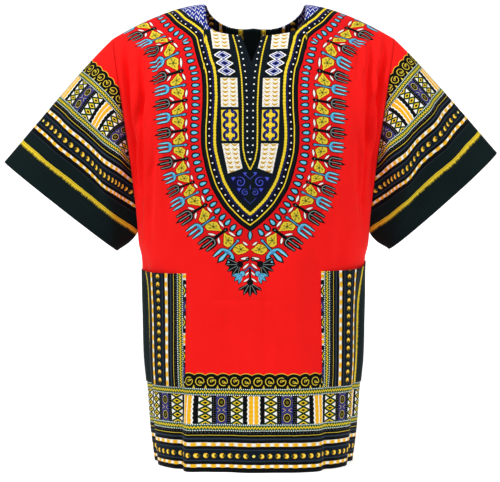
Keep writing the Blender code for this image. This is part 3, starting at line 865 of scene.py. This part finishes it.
borderPrint = {  # millimetres above the hem, and along it
    "low": -70.0,
    "high": 170.0,
    "stripes": [
        (-70.0, "cuffGreen"), (-1.2, "slate"), (0.0, "black"), (7.2, "white"),
        (12.4, "black"), (16.8, "slate"), (18.2, "navy"), (34.6, "slate"), (36.2, "black"), (41.4, "white"),
        (46.6, "black"), (51.6, "slate"), (53.8, "black"), (58.2, "mustard"), (59.2, "black"), (65.8, "teal"),
        (76.4, "black"), (122.4, "teal"), (133.2, "black"),
    ],
    "cuffStripe": {"low": -29.5, "high": -21.0},
    "dashes": {"heights": (9.8, 44.0), "half": 2.65, "pitch": 14.6},
    "arrows": {"height": 26.2, "pitch": 13.0, "size": 3.9},
    "zigzag": {
        "height": 71.1, "next": 56.7, "pitch": 4.8, "rise": 1.6, "half": 3.6, "from": 60.0, "to": 140.0,
        "line": 1.15, "shadow": 1.75, "dots": 3.3, "dotsOut": 4.7, "greyDots": 5.6, "greyHeight": 63.0,
    },
    "blocks": {
        "low": 76.9, "high": 121.9, "pitch": 105.7, "ripple": (7.2, 1.5), "bar": (1.3, 6.7), "white": 9.6,
        "lozenges": 27.4, "lozenge": (10.3, 5.55), "lozengeBand": 9.8, "beads": 40.7, "beadBand": 3.0,
        "medal": 12.2, "medalBand": 8.6,
    },
    "scrolls": {
        "height": 144.6, "pitch": 18.8, "size": 7.2, "shift": 6.7, "top": 157.6, "sag": 0.034, "spikes": 136.2,
    },
}


def dot(dx, dy, wide, tall):  # 1 inside an oval
    return (dx * (1 / wide)) * (dx * (1 / wide)) + (dy * (1 / tall)) * (dy * (1 / tall)) < 1.0


def finishCloth(paint, uv):  # uneven dye and the weave
    blotch = paint.noise(uv, cloth["blotches"], 4.0, 0.6)
    grain = paint.noise(uv, cloth["grains"], 1.0, 0.5)
    amount = (blotch - 0.5) * cloth["variation"] * 2 + (grain - 0.5) * cloth["variation"] * 1.6 + 1.0
    across, up = paint.parts(uv)
    turn = 2 * math.pi / cloth["weave"]
    over = (across * turn).math("SINE") * (up * turn).math("SINE")
    return paint.finish({
        "Base Color": paint.vector("SCALE", paint.colour, amount),
        "Normal": paint.bump(over * 0.5 + (blotch - 0.5) * 6.0, cloth["weaveDepth"], cloth["weaveStrength"]),
        "Roughness": cloth["roughness"],
        "Specular IOR Level": cloth["specular"],
        "Sheen Weight": cloth["sheen"],
        "Sheen Roughness": cloth["sheenRoughness"],
    })


def dashesAndArrows(paint, x, h):
    dash, arrow = borderPrint["dashes"], borderPrint["arrows"]
    inDash = h.near(dash["heights"][0], dash["half"]).most(h.near(dash["heights"][1], dash["half"]))
    pulse = (x.waves(dash["pitch"], 1.0) * 2.6 - 0.62).most(0.0).least(1.0)
    paint.lay(inDash * pulse, "gold")
    size, pitch = arrow["size"], arrow["pitch"]
    fromMiddle, rise = abs(x), h - arrow["height"]
    cell = fromMiddle.repeat(pitch)
    first = fromMiddle < pitch / 2
    tail = dot(cell + size * 0.35, rise, size * 1.05, size * 0.8) * (1 - first)
    paint.lay(tail * 0.5, "olive")
    crescent = dot(cell, rise, size, size) * (1 - dot(cell + size * 0.85, rise, size * 0.66, size * 0.62)) * (1 - first)
    paint.lay(crescent, "gold")
    bright = crescent * dot(cell - size * 0.45, rise, size * 0.48, size * 0.62) * 0.8
    paint.lay(bright.most(dot(x, rise, size * 0.6, size * 0.6) * first), "lemon")


def zigzagBands(paint, x, h):
    zig = borderPrint["zigzag"]
    inBands = (h > zig["from"]) * (h < zig["to"])
    band = (h - zig["height"]).math("WRAP", zig["next"] * 0.5, -zig["next"] * 0.5)
    field = band.near(0.0, zig["half"]) * inBands
    paint.lay(field, "green")
    fromWave = band - (x.waves(zig["pitch"], 2 * zig["rise"]) - zig["rise"])
    paint.lay(fromWave.near(0.0, zig["shadow"]) * field, "olive")
    paint.lay(fromWave.near(0.0, zig["line"]) * field, "yellow")
    paint.lay(dot(x.repeat(zig["dots"]), abs(band) - zig["dotsOut"], 0.95, 0.9) * inBands, "white")
    paint.lay(dot(x.repeat(zig["greyDots"]), h - zig["greyHeight"], 0.7, 0.7) * 0.7, "grey")


def uprightBlocks(paint, x, h):
    block = borderPrint["blocks"]
    middle = (block["low"] + block["high"]) / 2
    inBlocks = h.near(middle, (block["high"] - block["low"]) / 2)
    place = x.math("PINGPONG", block["pitch"] / 2)
    ripple = h.waves(*block["ripple"])
    start, end = block["bar"]
    paint.lay((place < ripple + block["white"]) * inBlocks, "white")
    paint.lay((place > start - ripple * 0.3) * (place < ripple + end) * inBlocks, "gold")
    across = place - block["lozenges"]
    wide, tall = block["lozenge"]
    lozenge = abs(across) * (1 / wide) + abs((h - middle).repeat(2 * tall)) * (1 / tall)
    tones = [(0.0, "black"), (0.37, "yellow"), (0.70, "black"), (0.80, "green"), (1.0, "black"), (1.24, "white")]
    paint.lay(across.near(0.0, block["lozengeBand"]) * inBlocks, paint.ramp(lozenge, tones, 0.0, 2.0))
    fromBeads = place - block["beads"]
    beads = dot(fromBeads.repeat(3.1), h.repeat(3.6), 0.5, 0.5) * fromBeads.near(0.0, block["beadBand"])
    paint.lay(beads * inBlocks * 0.3, "white")
    side = place - block["pitch"] / 2
    tall = (h - middle + block["medal"]).repeat(2 * block["medal"])
    reach = side * side * (1 / 36.0) + tall * tall * (1 / 50.0)
    tones = [(0.0, "olive"), (0.16, "black"), (0.66, "mustard"), (0.94, "blue"), (1.76, "olive"), (2.02, "blue")]
    inMedals = side.near(0.0, block["medalBand"]) * inBlocks
    paint.lay(inMedals, paint.ramp(reach, tones, 0.0, 4.0))
    flourish = (abs(side) - (block["medal"] - abs(tall)) * 1.6 - 2.0).near(0.0, 0.75) * (abs(tall) > 9.0)
    paint.lay(flourish * inMedals, "paleGold")


def scrollBand(paint, x, h):
    scroll = borderPrint["scrolls"]
    pitch, size = scroll["pitch"], scroll["size"]
    x = x - scroll["shift"]
    ringX = x.repeat(pitch)
    flip = x.math("WRAP", pitch * 1.5, -pitch / 2) < pitch / 2
    ringY = (h - scroll["height"]) * (flip * 2 - 1)
    ring = hypot(ringX, ringY).near(size - 0.65, 0.72) * (1 - dot(ringX - 5.0, ringY - 4.4, 2.2, 1.9))
    frond = dot(ringX * 0.8 + ringY * 0.6 - 3.2, ringY * 0.8 - ringX * 0.6 + 0.4, 3.3, 1.05)
    curl = hypot(ringX - 0.6, ringY - 0.6).near(2.2, 0.55) * (ringY - ringX > -1.4)
    rings = ring.most(frond, curl) * h.near(scroll["height"], 9.4)
    paint.lay(rings, "mustard")
    spike = (abs((x + pitch / 2).repeat(pitch)) < (h * -0.36 + 50.3)) * h.near(scroll["spikes"], 2.6)
    paint.lay(spike, "mustard")
    edge = h - (scroll["top"] - ringX * ringX * scroll["sag"])
    paint.lay(edge > 0.0, "red")
    paint.lay(edge.near(0.0, 0.62), "mustard")


def cuffStripe(paint, x, h):  # the yellow stripe frays towards the cuff, as if brushed
    stripe = borderPrint["cuffStripe"]
    streaks = paint.node("ShaderNodeCombineXYZ", {}, {0: x * 0.9, 1: h * 0.06})
    fray = paint.noise(streaks, 1.0, 2.0, 0.7)
    brushed = ((h - stripe["low"] + 6.0 - fray * 12.0) * 0.30).least(1.0).most(0.0)
    paint.lay((h < stripe["high"]) * brushed, "yellow")
    paint.lay(h.near(stripe["high"] - 2.2, 0.4) * 0.8, "olive")


def unsteady(paint, uv):  # small shifts, as a printed line is never quite true
    noise = paint.noise(uv, cloth["wobbles"], output=1, space="2D")
    return paint.vector("SCALE", paint.vector("SUBTRACT", noise, (0.5, 0.5, 0.5)), cloth["wobble"] * 2)


def readMap(paint, name, scale=1000.0, shift=None):  # a map's two coordinates, in millimetres unless scaled otherwise
    uv = paint.map(name)
    if shift is not None:
        uv = paint.vector("ADD", uv, shift)
    return paint.parts(paint.vector("SCALE", uv, scale))


def makeBorder(name, mapName):  # x runs along the border and h up from its hem
    paint = Paint(name)
    uv = paint.map(mapName)
    x, h = readMap(paint, mapName, shift=unsteady(paint, uv))
    paint.colour = paint.ramp(h, borderPrint["stripes"], borderPrint["low"], borderPrint["high"])
    for pattern in (cuffStripe, dashesAndArrows, zigzagBands, uprightBlocks, scrollBand):
        pattern(paint, x, h)
    return finishCloth(paint, uv)


def makeRed(name):
    paint = Paint(name)
    paint.colour = dye["red"]
    return finishCloth(paint, paint.map("cloth"))


breastBands = {  # millimetres in from the print's outline, along it, or up from the hem
    "edge": 2.2,  # how far outside the outline the black edge starts
    "bands": [
        (0.0, "black"), (0.9, "night"), (3.6, "black"), (5.3, "yellow"), (7.3, "black"), (14.9, "indigo"),
        (17.4, "black"), (24.0, "night"),
    ],
    "deepest": 40.0,
    "dots": {"in": 11.6, "pitch": 11.9, "size": 1.35},
    "beadLine": {"in": 20.7, "half": 2.35, "pitch": 5.8, "swell": 0.75, "edge": 0.50},
    "innerLine": {"half": 1.25, "pitch": 4.7, "swell": 0.70, "edge": 0.45},
    "placketDots": {"in": 7.2, "pitch": 11.4, "size": 1.35, "from": 500.0},
    "placket": {"in": 24.0, "low": 483.0},
    "blockWidth": 28.5,
    "blocks": [  # lower and upper edge of each block, and its pattern
        (478.0, 527.0, "chevrons"),
        (532.0, 583.0, "flowers"),
        (588.0, 638.0, "chevrons"),
        (642.5, 686.0, "lozenges"),
        (691.0, 729.0, "chevrons"),
    ],
    "tiles": {"chevrons": (13.0, 7.2), "lozenges": (11.6, 7.2), "flowers": 17.0},
    "royal": {"low": 729.0, "in": 29.5},
}
outerRing = {
    "drops": {"out": 12.9, "pitch": 11.5, "wide": 2.35, "long": 5.3, "edge": 1.9},
    "forks": {"pitch": 24.0, "length": 53.0, "bend": 34.5, "half": 6.7, "prong": 1.65, "edge": 1.1},
    "flowers": {"middle": 14.5, "round": 7.4, "half": 10.2, "crinkles": 9.0, "veins": 6.0, "eye": 1.9},
    # along and out from a black fork's knob, then as in the foot
    "petals": [(10.4, -0.2, 6.0, 1.75, -10.0), (6.3, 23.6, 5.6, 1.55, 45.0)],
}
foot = {  # the motifs at the ring's lowest point: across and up, length, width, and tilt of each
    "petals": [(6.8, 329.6, 6.6, 1.7, -43.0), (4.9, 317.2, 4.2, 1.35, -43.0), (6.3, 307.1, 5.4, 1.45, -34.0)],
    "palm": {"across": 16.5, "up": 332.6, "turn": 118.0, "length": 23.0, "wide": 3.4, "spacing": 0.46, "spread": 1.14},
    "tulip": {"across": 12.4, "up": 317.6, "turn": 131.0, "length": 17.0, "wide": 2.6, "spacing": 0.50, "spread": 0.74},
    "last": {"across": 0.0, "up": 303.0, "turn": 180.0, "length": 21.5, "wide": 3.2, "spacing": 0.50, "spread": 1.14},
}
heart = {  # the small panel at the foot of the placket
    "in": 28.4,
    "top": 484.5,
    "slant": 0.42,
    "scrolls": [(16.3, 464.6, 8.4, 5.6, 1.0), (7.6, 448.0, 5.6, 3.8, -1.0)],  # across, up, size, pitch, way
    "corners": [(27.5, 470.6, 4.4), (17.8, 452.6, 3.9), (8.2, 478.4, 3.6)],
}


def tilted(dx, dy, degrees):
    c, s = math.cos(math.radians(degrees)), math.sin(math.radians(degrees))
    return dx * c + dy * s, dy * c - dx * s


def hypot(dx, dy):
    return (dx * dx + dy * dy).math("SQRT")


def leaf(dx, dy, long, wide, degrees=0.0):  # below 0 inside a pointed leaf
    if degrees:
        dx, dy = tilted(dx, dy, degrees)
    along = dx * (1 / long)
    return along * along * wide + abs(dy) - wide


def layPetals(paint, x, y, petals, edge, where=1.0):
    for across, up, long, wide, degrees in petals:
        petal = leaf(x - across, y - up, long, wide, degrees)
        paint.lay((petal < edge) * where, "wine")
        paint.lay((petal < 0.0) * where, "white")


def fan(x, y, shape):  # below 0 inside leaves spread from a point, and the distance from their middles
    aside, ahead = tilted(x - shape["across"], y - shape["up"], -shape["turn"])
    turn = aside.math("ARCTAN2", ahead)
    radius = hypot(aside, ahead)
    finger = turn.repeat(shape["spacing"])
    along = radius * finger.math("COSINE") * (2 / shape["length"]) - 1.0
    off = radius * abs(finger.math("SINE"))
    past = (abs(turn) > shape["spread"]) * 50.0
    return along * along * shape["wide"] + off - shape["wide"] + past, off, radius


def ringOfDrops(paint, side, v, s, d):
    drops = outerRing["drops"]
    across, out = s.repeat(drops["pitch"]), d - drops["out"]
    wide = out * 0.15 + drops["wide"]
    clear = s > drops["pitch"] * 0.5
    edge, long = drops["edge"], drops["long"]
    dark = hypot(across / (wide + edge), out * (1 / (long + edge + 0.4))) < 1.0
    paint.lay(dark * clear, "black")
    paint.lay((hypot(across / wide, out * (1 / long)) < 1.0) * clear, "sky")
    paint.lay((leaf(across, out + 1.2, 0.9, 3.0) < -1.4) * clear * 0.6, "ice")
    lowest = v - 379.0
    paint.lay(leaf(lowest, side, 9.6, 4.3) < 0.0, "black")
    paint.lay(leaf(lowest, side, 7.4, 2.4) < 0.0, "sky")


def ringOfForks(paint, q, t, d):
    fork = outerRing["forks"]
    around = d > 14.0
    e = abs(q.math("WRAP", 1.0, -1.0)) * fork["pitch"]  # from the nearest black fork's stem
    b = t * fork["length"]  # out from the knobs
    # flowers, each with its narrow end at a black stem
    flower = outerRing["flowers"]
    fromMiddle = e - flower["middle"]
    past = fromMiddle.most(0.0) * (1 / flower["round"])
    half = ((1.0 - past * past).math("SQRT") * flower["half"]).least(fromMiddle * 0.82 + flower["half"])
    turn = (e - 13.2).math("ARCTAN2", b - 12.8)
    bloom = half - abs(b - e * 0.42 - 6.9) + (turn * flower["crinkles"]).math("COSINE") * 0.4
    for within, name in ((-1.3, "wine"), (0.0, "yellow"), (2.7, "mustard")):
        paint.lay((bloom > within) * around, name)
    veins = ((turn * flower["veins"]).math("SINE") > 0.5) * (bloom > 3.2)
    paint.lay(veins * around * 0.75, "moss")
    paint.lay((hypot(e - 13.6, b - 12.4) < flower["eye"]) * around, "moss")
    layPetals(paint, e, b, outerRing["petals"], 1.1, around)
    # forks: a stem with a knob, two prongs that bend round and one between them
    a = q.repeat(1.0) * fork["pitch"]
    bend = hypot(a, (b - fork["bend"]).least(0.0))
    offProng = abs(bend - fork["half"])
    prongs = offProng - (fork["prong"] - (b - 42.0).most(0.0) * 0.10) + (b > 52.0) * 9.0
    middle = abs(a) + abs(b - 46.0) * 0.05 + (b - 49.0).most(0.0) * 0.22 - 1.75 + (b < fork["bend"] - 7.0) * 9.0
    web = (bend - fork["half"]).most(b - 34.0 + abs(a) * 0.4)
    stem = abs(a) - 1.05 + (abs(b - 14.5) > 14.0) * 9.0
    knob = hypot(a, (b - 2.6) * 0.62) - 1.9
    shape = prongs.least(middle, web, stem, knob)
    own = (q > 0.5) * (d > 13.0)
    blue = (q.math("WRAP", 1.5, -0.5) > 0.5) * own
    black = own - blue
    paint.lay((shape < fork["edge"]) * own, "black")
    paint.lay((shape < -0.1) * blue, "sky")
    paint.lay((web < 0.0) * (prongs > 0.0) * blue * 0.7, "lake")
    paint.lay((stem < -0.1) * blue * 0.55, "lake")
    shine = (offProng.least(abs(a)) < 0.5) * (b > 36.0) * (b < 51.0)
    paint.lay(shine * blue * 0.7, "ice")
    line = offProng.least(abs(a) + (b < 29.0) * 9.0) < 0.62
    paint.lay(line * (shape < 0.3) * (b > 26.0) * (b < 51.0) * black, "ash")
    paint.lay((knob < -1.2) * black, "ash")


def ringFoot(paint, side, v):
    stem = abs((side - 2.0) * 0.50 + (v - 341.5)) - 1.5 + (abs(side - 9.0) > 8.5) * 9.0
    paint.lay((stem < 0.0) * (v > 327.0), "black")
    knob = leaf(side - 4.2, v - 340.4, 3.6, 2.1, -35.0)
    paint.lay(knob < 0.8, "black")
    paint.lay(knob < -1.4, "ash")
    paint.lay((side < 1.5) * v.near(314.0, 12.5), "black")
    thin = abs((side - 3.6) * 0.88 + (v - 325.5)) + (abs(side - 7.5) > 7.5) * 9.0
    paint.lay(thin < 2.0, "black")
    paint.lay(thin < 1.0, "lake")
    layPetals(paint, side, v, foot["petals"], 1.0)
    for name in ("palm", "last"):
        body, aside, radius = fan(side, v, foot[name])
        length = foot[name]["length"]
        paint.lay((body < 0.9).most(radius < length * 0.24), "black")
        veins = (aside < 0.45) * (body < -0.4) * (radius > length * 0.2)
        paint.lay(veins, "ash")
    body, aside, radius = fan(side, v, foot["tulip"])
    paint.lay((body < 1.2).most(radius < 5.2), "black")
    paint.lay((body < 0.0).most(radius < 4.0), "sky")
    paint.lay((aside < 0.5) * (body < -0.5), "lake")


def blockTile(paint, pattern, wide, upward):  # one block's pattern, from its middle in millimetres
    tile = breastBands["tiles"]
    if pattern == "chevrons":
        lobePitch, rowPitch = tile["chevrons"]
        lobe = (wide - lobePitch / 2).repeat(lobePitch)
        curve = upward - lobe * lobe * 0.10
        row = curve.repeat(rowPitch)
        between = (curve - 3.4).repeat(rowPitch).near(0.0, 1.0) * (abs(lobe) > 2.0)
        faint = paint.mix(between * 0.7, dye["cream"], dye["mist"])
        marks = (abs(row) + lobe * lobe * 0.05 < 1.85) * (abs(lobe) < 5.3)
        return paint.mix(marks, faint, dye["brass"])
    if pattern == "lozenges":
        half, high = tile["lozenges"]
        cell = abs(wide) * (1 / half) + abs(upward.repeat(2 * high)) * (1 / high)
        tones = [(0.0, "black"), (0.30, "royal"), (0.62, "white"), (0.80, "royal"), (1.04, "white"), (1.36, "black")]
        return paint.ramp(cell, tones, 0.0, 2.0)
    cell = upward.repeat(tile["flowers"])
    ring = hypot(wide * (1 / 10.8), cell * (1 / 8.2))
    petals = (wide.math("ARCTAN2", cell) * 4.0).math("COSINE")
    flower = paint.mix(ring.near(0.94, 0.22), dye["yellow"], dye["indigo"])
    for where, name in (
        (ring.near(0.74, 0.34) * (petals < -0.15), "indigo"),
        (ring.near(0.80, 0.16) * (petals < -0.45), "royal"),
        (ring.near(0.94, 0.16) * (petals > 0.55) * (abs(cell) > 4.0), "yellow"),
        (abs(wide) * (1 / 7.4) + abs(cell) * (1 / 6.2) < 1.0, "yellow"),
    ):
        flower = paint.mix(where, flower, dye[name])
    return flower


def heartPanel(paint, side, v, inward):
    panel = (inward > heart["in"]) * (v < heart["top"] - side * heart["slant"])
    paint.lay(panel, paint.mix(side < 9.0, dye["indigoNight"], dye["night"]))
    ink = side + abs(v - 456.0) * 0.18 < 0.9
    for across, up, size, pitch, way in heart["scrolls"]:
        dx, dy = side - across, v - up
        radius = hypot(dx, dy)
        coil = (dx * way).math("ARCTAN2", dy) * (pitch / (2 * math.pi))
        arc = abs((radius - coil - size * 0.35).repeat(pitch)) < radius * 0.07 + 0.35
        ink = ink.most(arc * (radius < size))
    for across, up, size in heart["corners"]:
        dx, dy = abs(side - across), v - up
        ink = ink.most((dx * 1.6 - dy < size) * (dy < size * 0.5))
    vee = (side * 0.93 - (v - 429.5)).near(0.0, 0.7) * (side < 10.0) * 0.5
    upper = (side * 0.95 - (v - 469.0)).near(0.0, 0.6) * (side < 9.0)
    paint.lay(ink.most(vee, upper) * panel, "violet")


def layBeads(paint, along, off, line, where=1.0):  # a yellow line of beads with dark olive edges
    bead = abs(along.repeat(line["pitch"])) * (2 / line["pitch"])
    offLine = off + bead * bead * line["swell"] - line["half"]
    paint.lay((offLine < line["edge"]) * where, "olive")
    paint.lay((offLine < 0.0) * where, "yellow")


def insideOutline(paint, side, v, s, d, inner, share):
    bands = breastBands
    inward = d * -1.0
    paint.colour = paint.ramp(inward, bands["bands"], 0.0, bands["deepest"])
    dots = bands["dots"]
    paint.lay(dot(s.repeat(dots["pitch"] / 3), inward - dots["in"], 0.8, 0.8) * 0.8, "indigo")
    paint.lay(dot(s.repeat(dots["pitch"]), inward - dots["in"], dots["size"], dots["size"]), "white")
    layBeads(paint, s, abs(inward - bands["beadLine"]["in"]), bands["beadLine"])
    # the royal blue cloth on the shoulders, with white scribbles
    royal = (v > bands["royal"]["low"]) * (inward > bands["royal"]["in"])
    shake = paint.noise(paint.cloth, 90.0, 1.0, space="2D")
    row = (v + side * 0.45 + shake * 6.0).repeat(14.5)
    stroke = abs(row - (side + shake * 5.0).waves(7.4, 12.0) + 6.0) < 1.7
    paint.lay(royal, "royal")
    paint.lay(royal * stroke, "white")
    # placket and blocks
    middle = inward > bands["placket"]["in"]
    upper = (v > bands["placket"]["low"]) * middle
    paint.lay(upper * (inner < 0.0), "night")
    dots = bands["placketDots"]
    spots = dot(v.repeat(dots["pitch"]), inner + dots["in"], dots["size"], dots["size"])
    paint.lay(spots * (v > dots["from"]) * upper, "white")
    layBeads(paint, v, abs(inner), bands["innerLine"], upper)
    wide = (share - 0.5) * bands["blockWidth"]
    inBlock = share.near(0.5, 0.5) * middle
    for low, high, pattern in bands["blocks"]:
        bottom = v - low
        if low < 480:
            bottom = bottom + (side - 35.0) * 0.36 - 0.5
        tile = blockTile(paint, pattern, wide, v - (low + high) / 2)
        paint.lay(inBlock * (bottom > 0.0) * (v < high), tile)
    heartPanel(paint, side, v, inward)


def makeBreast(name):
    paint = Paint(name)
    paint.cloth = paint.map("cloth")
    shift = unsteady(paint, paint.cloth)
    u, v = readMap(paint, "breast", shift=shift)  # across from the print's middle line and up from the hem
    s, d = readMap(paint, "ring", shift=shift)  # along the print's outline and out from it
    q, t = readMap(paint, "forks", 1.0)
    inner, share = readMap(paint, "blocks", 1.0)
    side = abs(u)
    paint.colour = paint.mix((t < 0.84) * 0.55, dye["red"], dye["deepRed"])
    ringOfDrops(paint, side, v, s, d)
    ringOfForks(paint, q, t, d)
    ringFoot(paint, side, v)
    outside = paint.colour
    insideOutline(paint, side, v, s, d, inner * 1000.0, share)
    paint.colour = paint.mix(d < breastBands["edge"], outside, paint.colour)
    return finishCloth(paint, paint.cloth)


print("printed cotton")
redCotton = makeRed("red_cotton")
breastCotton = makeBreast("breast_print_cotton")
hemCotton = makeBorder("hem_border_cotton", "cloth")
stripeCotton = makeBorder("stripe_border_cotton", "border")
for piece in (front, back):
    for material in (redCotton, breastCotton, hemCotton):
        piece.data.materials.append(material)
for piece in sleevePieces + pocketPieces + [facing] + cuffTurns:
    piece.data.materials.append(stripeCotton)
for piece in hemTurns:
    piece.data.materials.append(hemCotton)


# sewing thread, seen as short stitches lying on the cloth
sewing = {
    "pitch": 0.0033,  # from stitch to stitch
    "long": 0.0012,  # half sizes of one stitch
    "wide": 0.00026,
    "high": 0.00022,
    "thread": tone(20, 26, 30),
    # painted shade: the thread's colour in the grooves of its twist
    "shade": tone(6, 8, 10),
    "twist": 1800.0,
    "twistDepth": 0.00008,
    "roughness": 0.62,
    "step": 0.0008,  # how far ahead a stitch looks for its direction
    "neckIn": 0.004,  # how far short of the neck point the neckline's stitches end
    "hemRow": 6,  # grid rows above the bottom edge
    "neckRow": -4,
    "pocketIn": 1,  # grid steps in from a pocket's edge
    "mouthRow": -6,
}


def makeThread(name):
    paint = Paint(name)
    twist = paint.noise(paint.node("ShaderNodeTexCoord", {}, {}, 3), sewing["twist"], 2.0, 0.6)
    # painted shade: the thread is darker where the twist's bump is low, in the grooves between its plies
    tint = paint.mix(twist, sewing["shade"], sewing["thread"])
    bump = paint.bump(twist, sewing["twistDepth"], 0.5)
    return paint.finish({"Base Color": tint, "Roughness": sewing["roughness"], "Normal": bump})


def makeStitches(name, lines):  # lines of points on the cloth, each with the outward normals there
    bm = bmesh.new()
    for points, normals in lines:
        lengths = lengthAlong(points, 0)
        places = np.arange(sewing["pitch"], lengths[-1] - sewing["pitch"] / 2, sewing["pitch"])
        for place in places:
            middle, up, ahead = (
                Vector([np.interp(at, lengths, values[:, k]) for k in range(3)])
                for at, values in ((place, points), (place, normals), (place + sewing["step"], points))
            )
            along = (ahead - middle).normalized()
            aside = up.cross(along).normalized()
            top = along.cross(aside)
            sizes = (along * sewing["long"], aside * sewing["wide"], top * sewing["high"])
            matrix = Matrix([(*row, spot) for row, spot in zip(zip(*sizes), middle)] + [(0, 0, 0, 1)])
            bmesh.ops.create_icosphere(bm, subdivisions=1, radius=1.0, matrix=matrix)
    mesh = bpy.data.meshes.new(name)
    bm.to_mesh(mesh)
    bm.free()
    mesh.shade_smooth()
    mesh.materials.append(threadMaterial)
    declare(addObject(name, mesh))


print("stitches")
threadMaterial = makeThread("sewing_thread")
hemLines, neckLines, pocketLines = [], [], []
for points, panel in ((frontPoints, "front"), (backPoints, "back")):
    normals = gridNormals(points)
    atNeck = np.abs(panelColumns(panel)) < neckPlace - sewing["neckIn"]
    for lines, cells in ((hemLines, (sewing["hemRow"], slice(1, -1))), (neckLines, (sewing["neckRow"], atNeck))):
        lines.append((points[cells], normals[cells]))
makeStitches("hem_stitches", hemLines)
makeStitches("neck_stitches", neckLines)
makeStitches("cuff_stitches", [(points[row], gridNormals(points)[row]) for points, row in cuffRows])
for points in pocketGrids:
    normals, edge = gridNormals(points), sewing["pocketIn"]
    upright, level = slice(1, None), slice(1, -1)
    for cells in ((upright, edge), (upright, -1 - edge), (edge, level), (sewing["mouthRow"], level)):
        pocketLines.append((points[cells], normals[cells]))
makeStitches("pocket_stitches", pocketLines)

studio = {
    "floorDrop": 0.0005,  # below the hem
    "floorHalf": 4.0,
    "wallHeight": 5.0,
    "white": tone(247, 247, 247),
    "camera": (-0.00595, -2.5, -0.3742),
    "imageWidth": 0.85,  # how much of the shirt's plane the picture spans
    "lamps": [  # place, width, height, watts
        ((-1.25, -1.00, 1.05), 0.5, 0.5, 23.5),
        ((1.40, -1.15, 0.90), 0.7, 0.7, 19.0),
        ((0.0, -0.55, 1.5), 1.0, 1.0, 8.0),
    ],
    "aim": (0.0, 0.0, -0.15),
    "skyLight": 0.15,
    "gamma": 0.90,
    "paperGlow": 0.55,
    "glowFrom": (-0.6, -0.15),  # where along the floor the glow starts and is full
}


def makeStudio():
    bm = bmesh.new()
    bmesh.ops.create_grid(bm, x_segments=1, y_segments=1, size=studio["floorHalf"])
    floor = shirt["neckHeight"] - shirt["hemDrop"] - studio["floorDrop"]
    bmesh.ops.translate(bm, verts=bm.verts, vec=(0.0, 0.0, floor))
    edge = [e for e in bm.edges if all(v.co.y > studio["floorHalf"] - 0.1 for v in e.verts)]
    wall = bmesh.ops.extrude_edge_only(bm, edges=edge)["geom"]
    top = [part for part in wall if isinstance(part, bmesh.types.BMVert)]
    bmesh.ops.translate(bm, verts=top, vec=(0.0, 0.0, studio["wallHeight"]))
    mesh = bpy.data.meshes.new("backdrop")
    bm.to_mesh(mesh)
    bm.free()
    backdrop = addObject("backdrop", mesh)
    paper = Paint("backdrop_paper")  # it glows behind the shirt, so that the picture's ground is white
    back = paper.parts(paper.node("ShaderNodeTexCoord", {}, {}, 3))[1]
    start, end = studio["glowFrom"]
    glow = ((back - start) * (1 / (end - start))).most(0.0).least(1.0)
    mesh.materials.append(paper.finish({
        "Emission Color": paper.mix(glow, (0.0, 0.0, 0.0), (1.0, 1.0, 1.0)),
        "Emission Strength": studio["paperGlow"],
        "Base Color": (*studio["white"], 1.0),
        "Roughness": 0.9,
    }))
    for place, width, height, watts in studio["lamps"]:
        light = bpy.data.lights.new("softbox", "AREA")
        light.shape, light.size, light.size_y, light.energy = "RECTANGLE", width, height, watts
        lamp = addObject("softbox", light)
        lamp.location = place
        lamp.rotation_euler = (Vector(studio["aim"]) - Vector(place)).to_track_quat("-Z", "Y").to_euler()
    scene = bpy.context.scene
    scene.view_settings.view_transform = "Standard"
    scene.view_settings.gamma = studio["gamma"]
    scene.world = bpy.data.worlds.new("studio")
    scene.world.use_nodes = True
    sky = scene.world.node_tree.nodes["Background"].inputs
    sky["Color"].default_value = (1.0, 1.0, 1.0, 1.0)
    sky["Strength"].default_value = studio["skyLight"]
    lens = bpy.data.cameras.new("camera")
    lens.lens = lens.sensor_width * abs(studio["camera"][1]) / studio["imageWidth"]
    scene.camera = addObject("camera", lens)
    scene.camera.location = studio["camera"]
    scene.camera.rotation_euler = (math.pi / 2, 0.0, 0.0)


print("studio")
makeStudio()
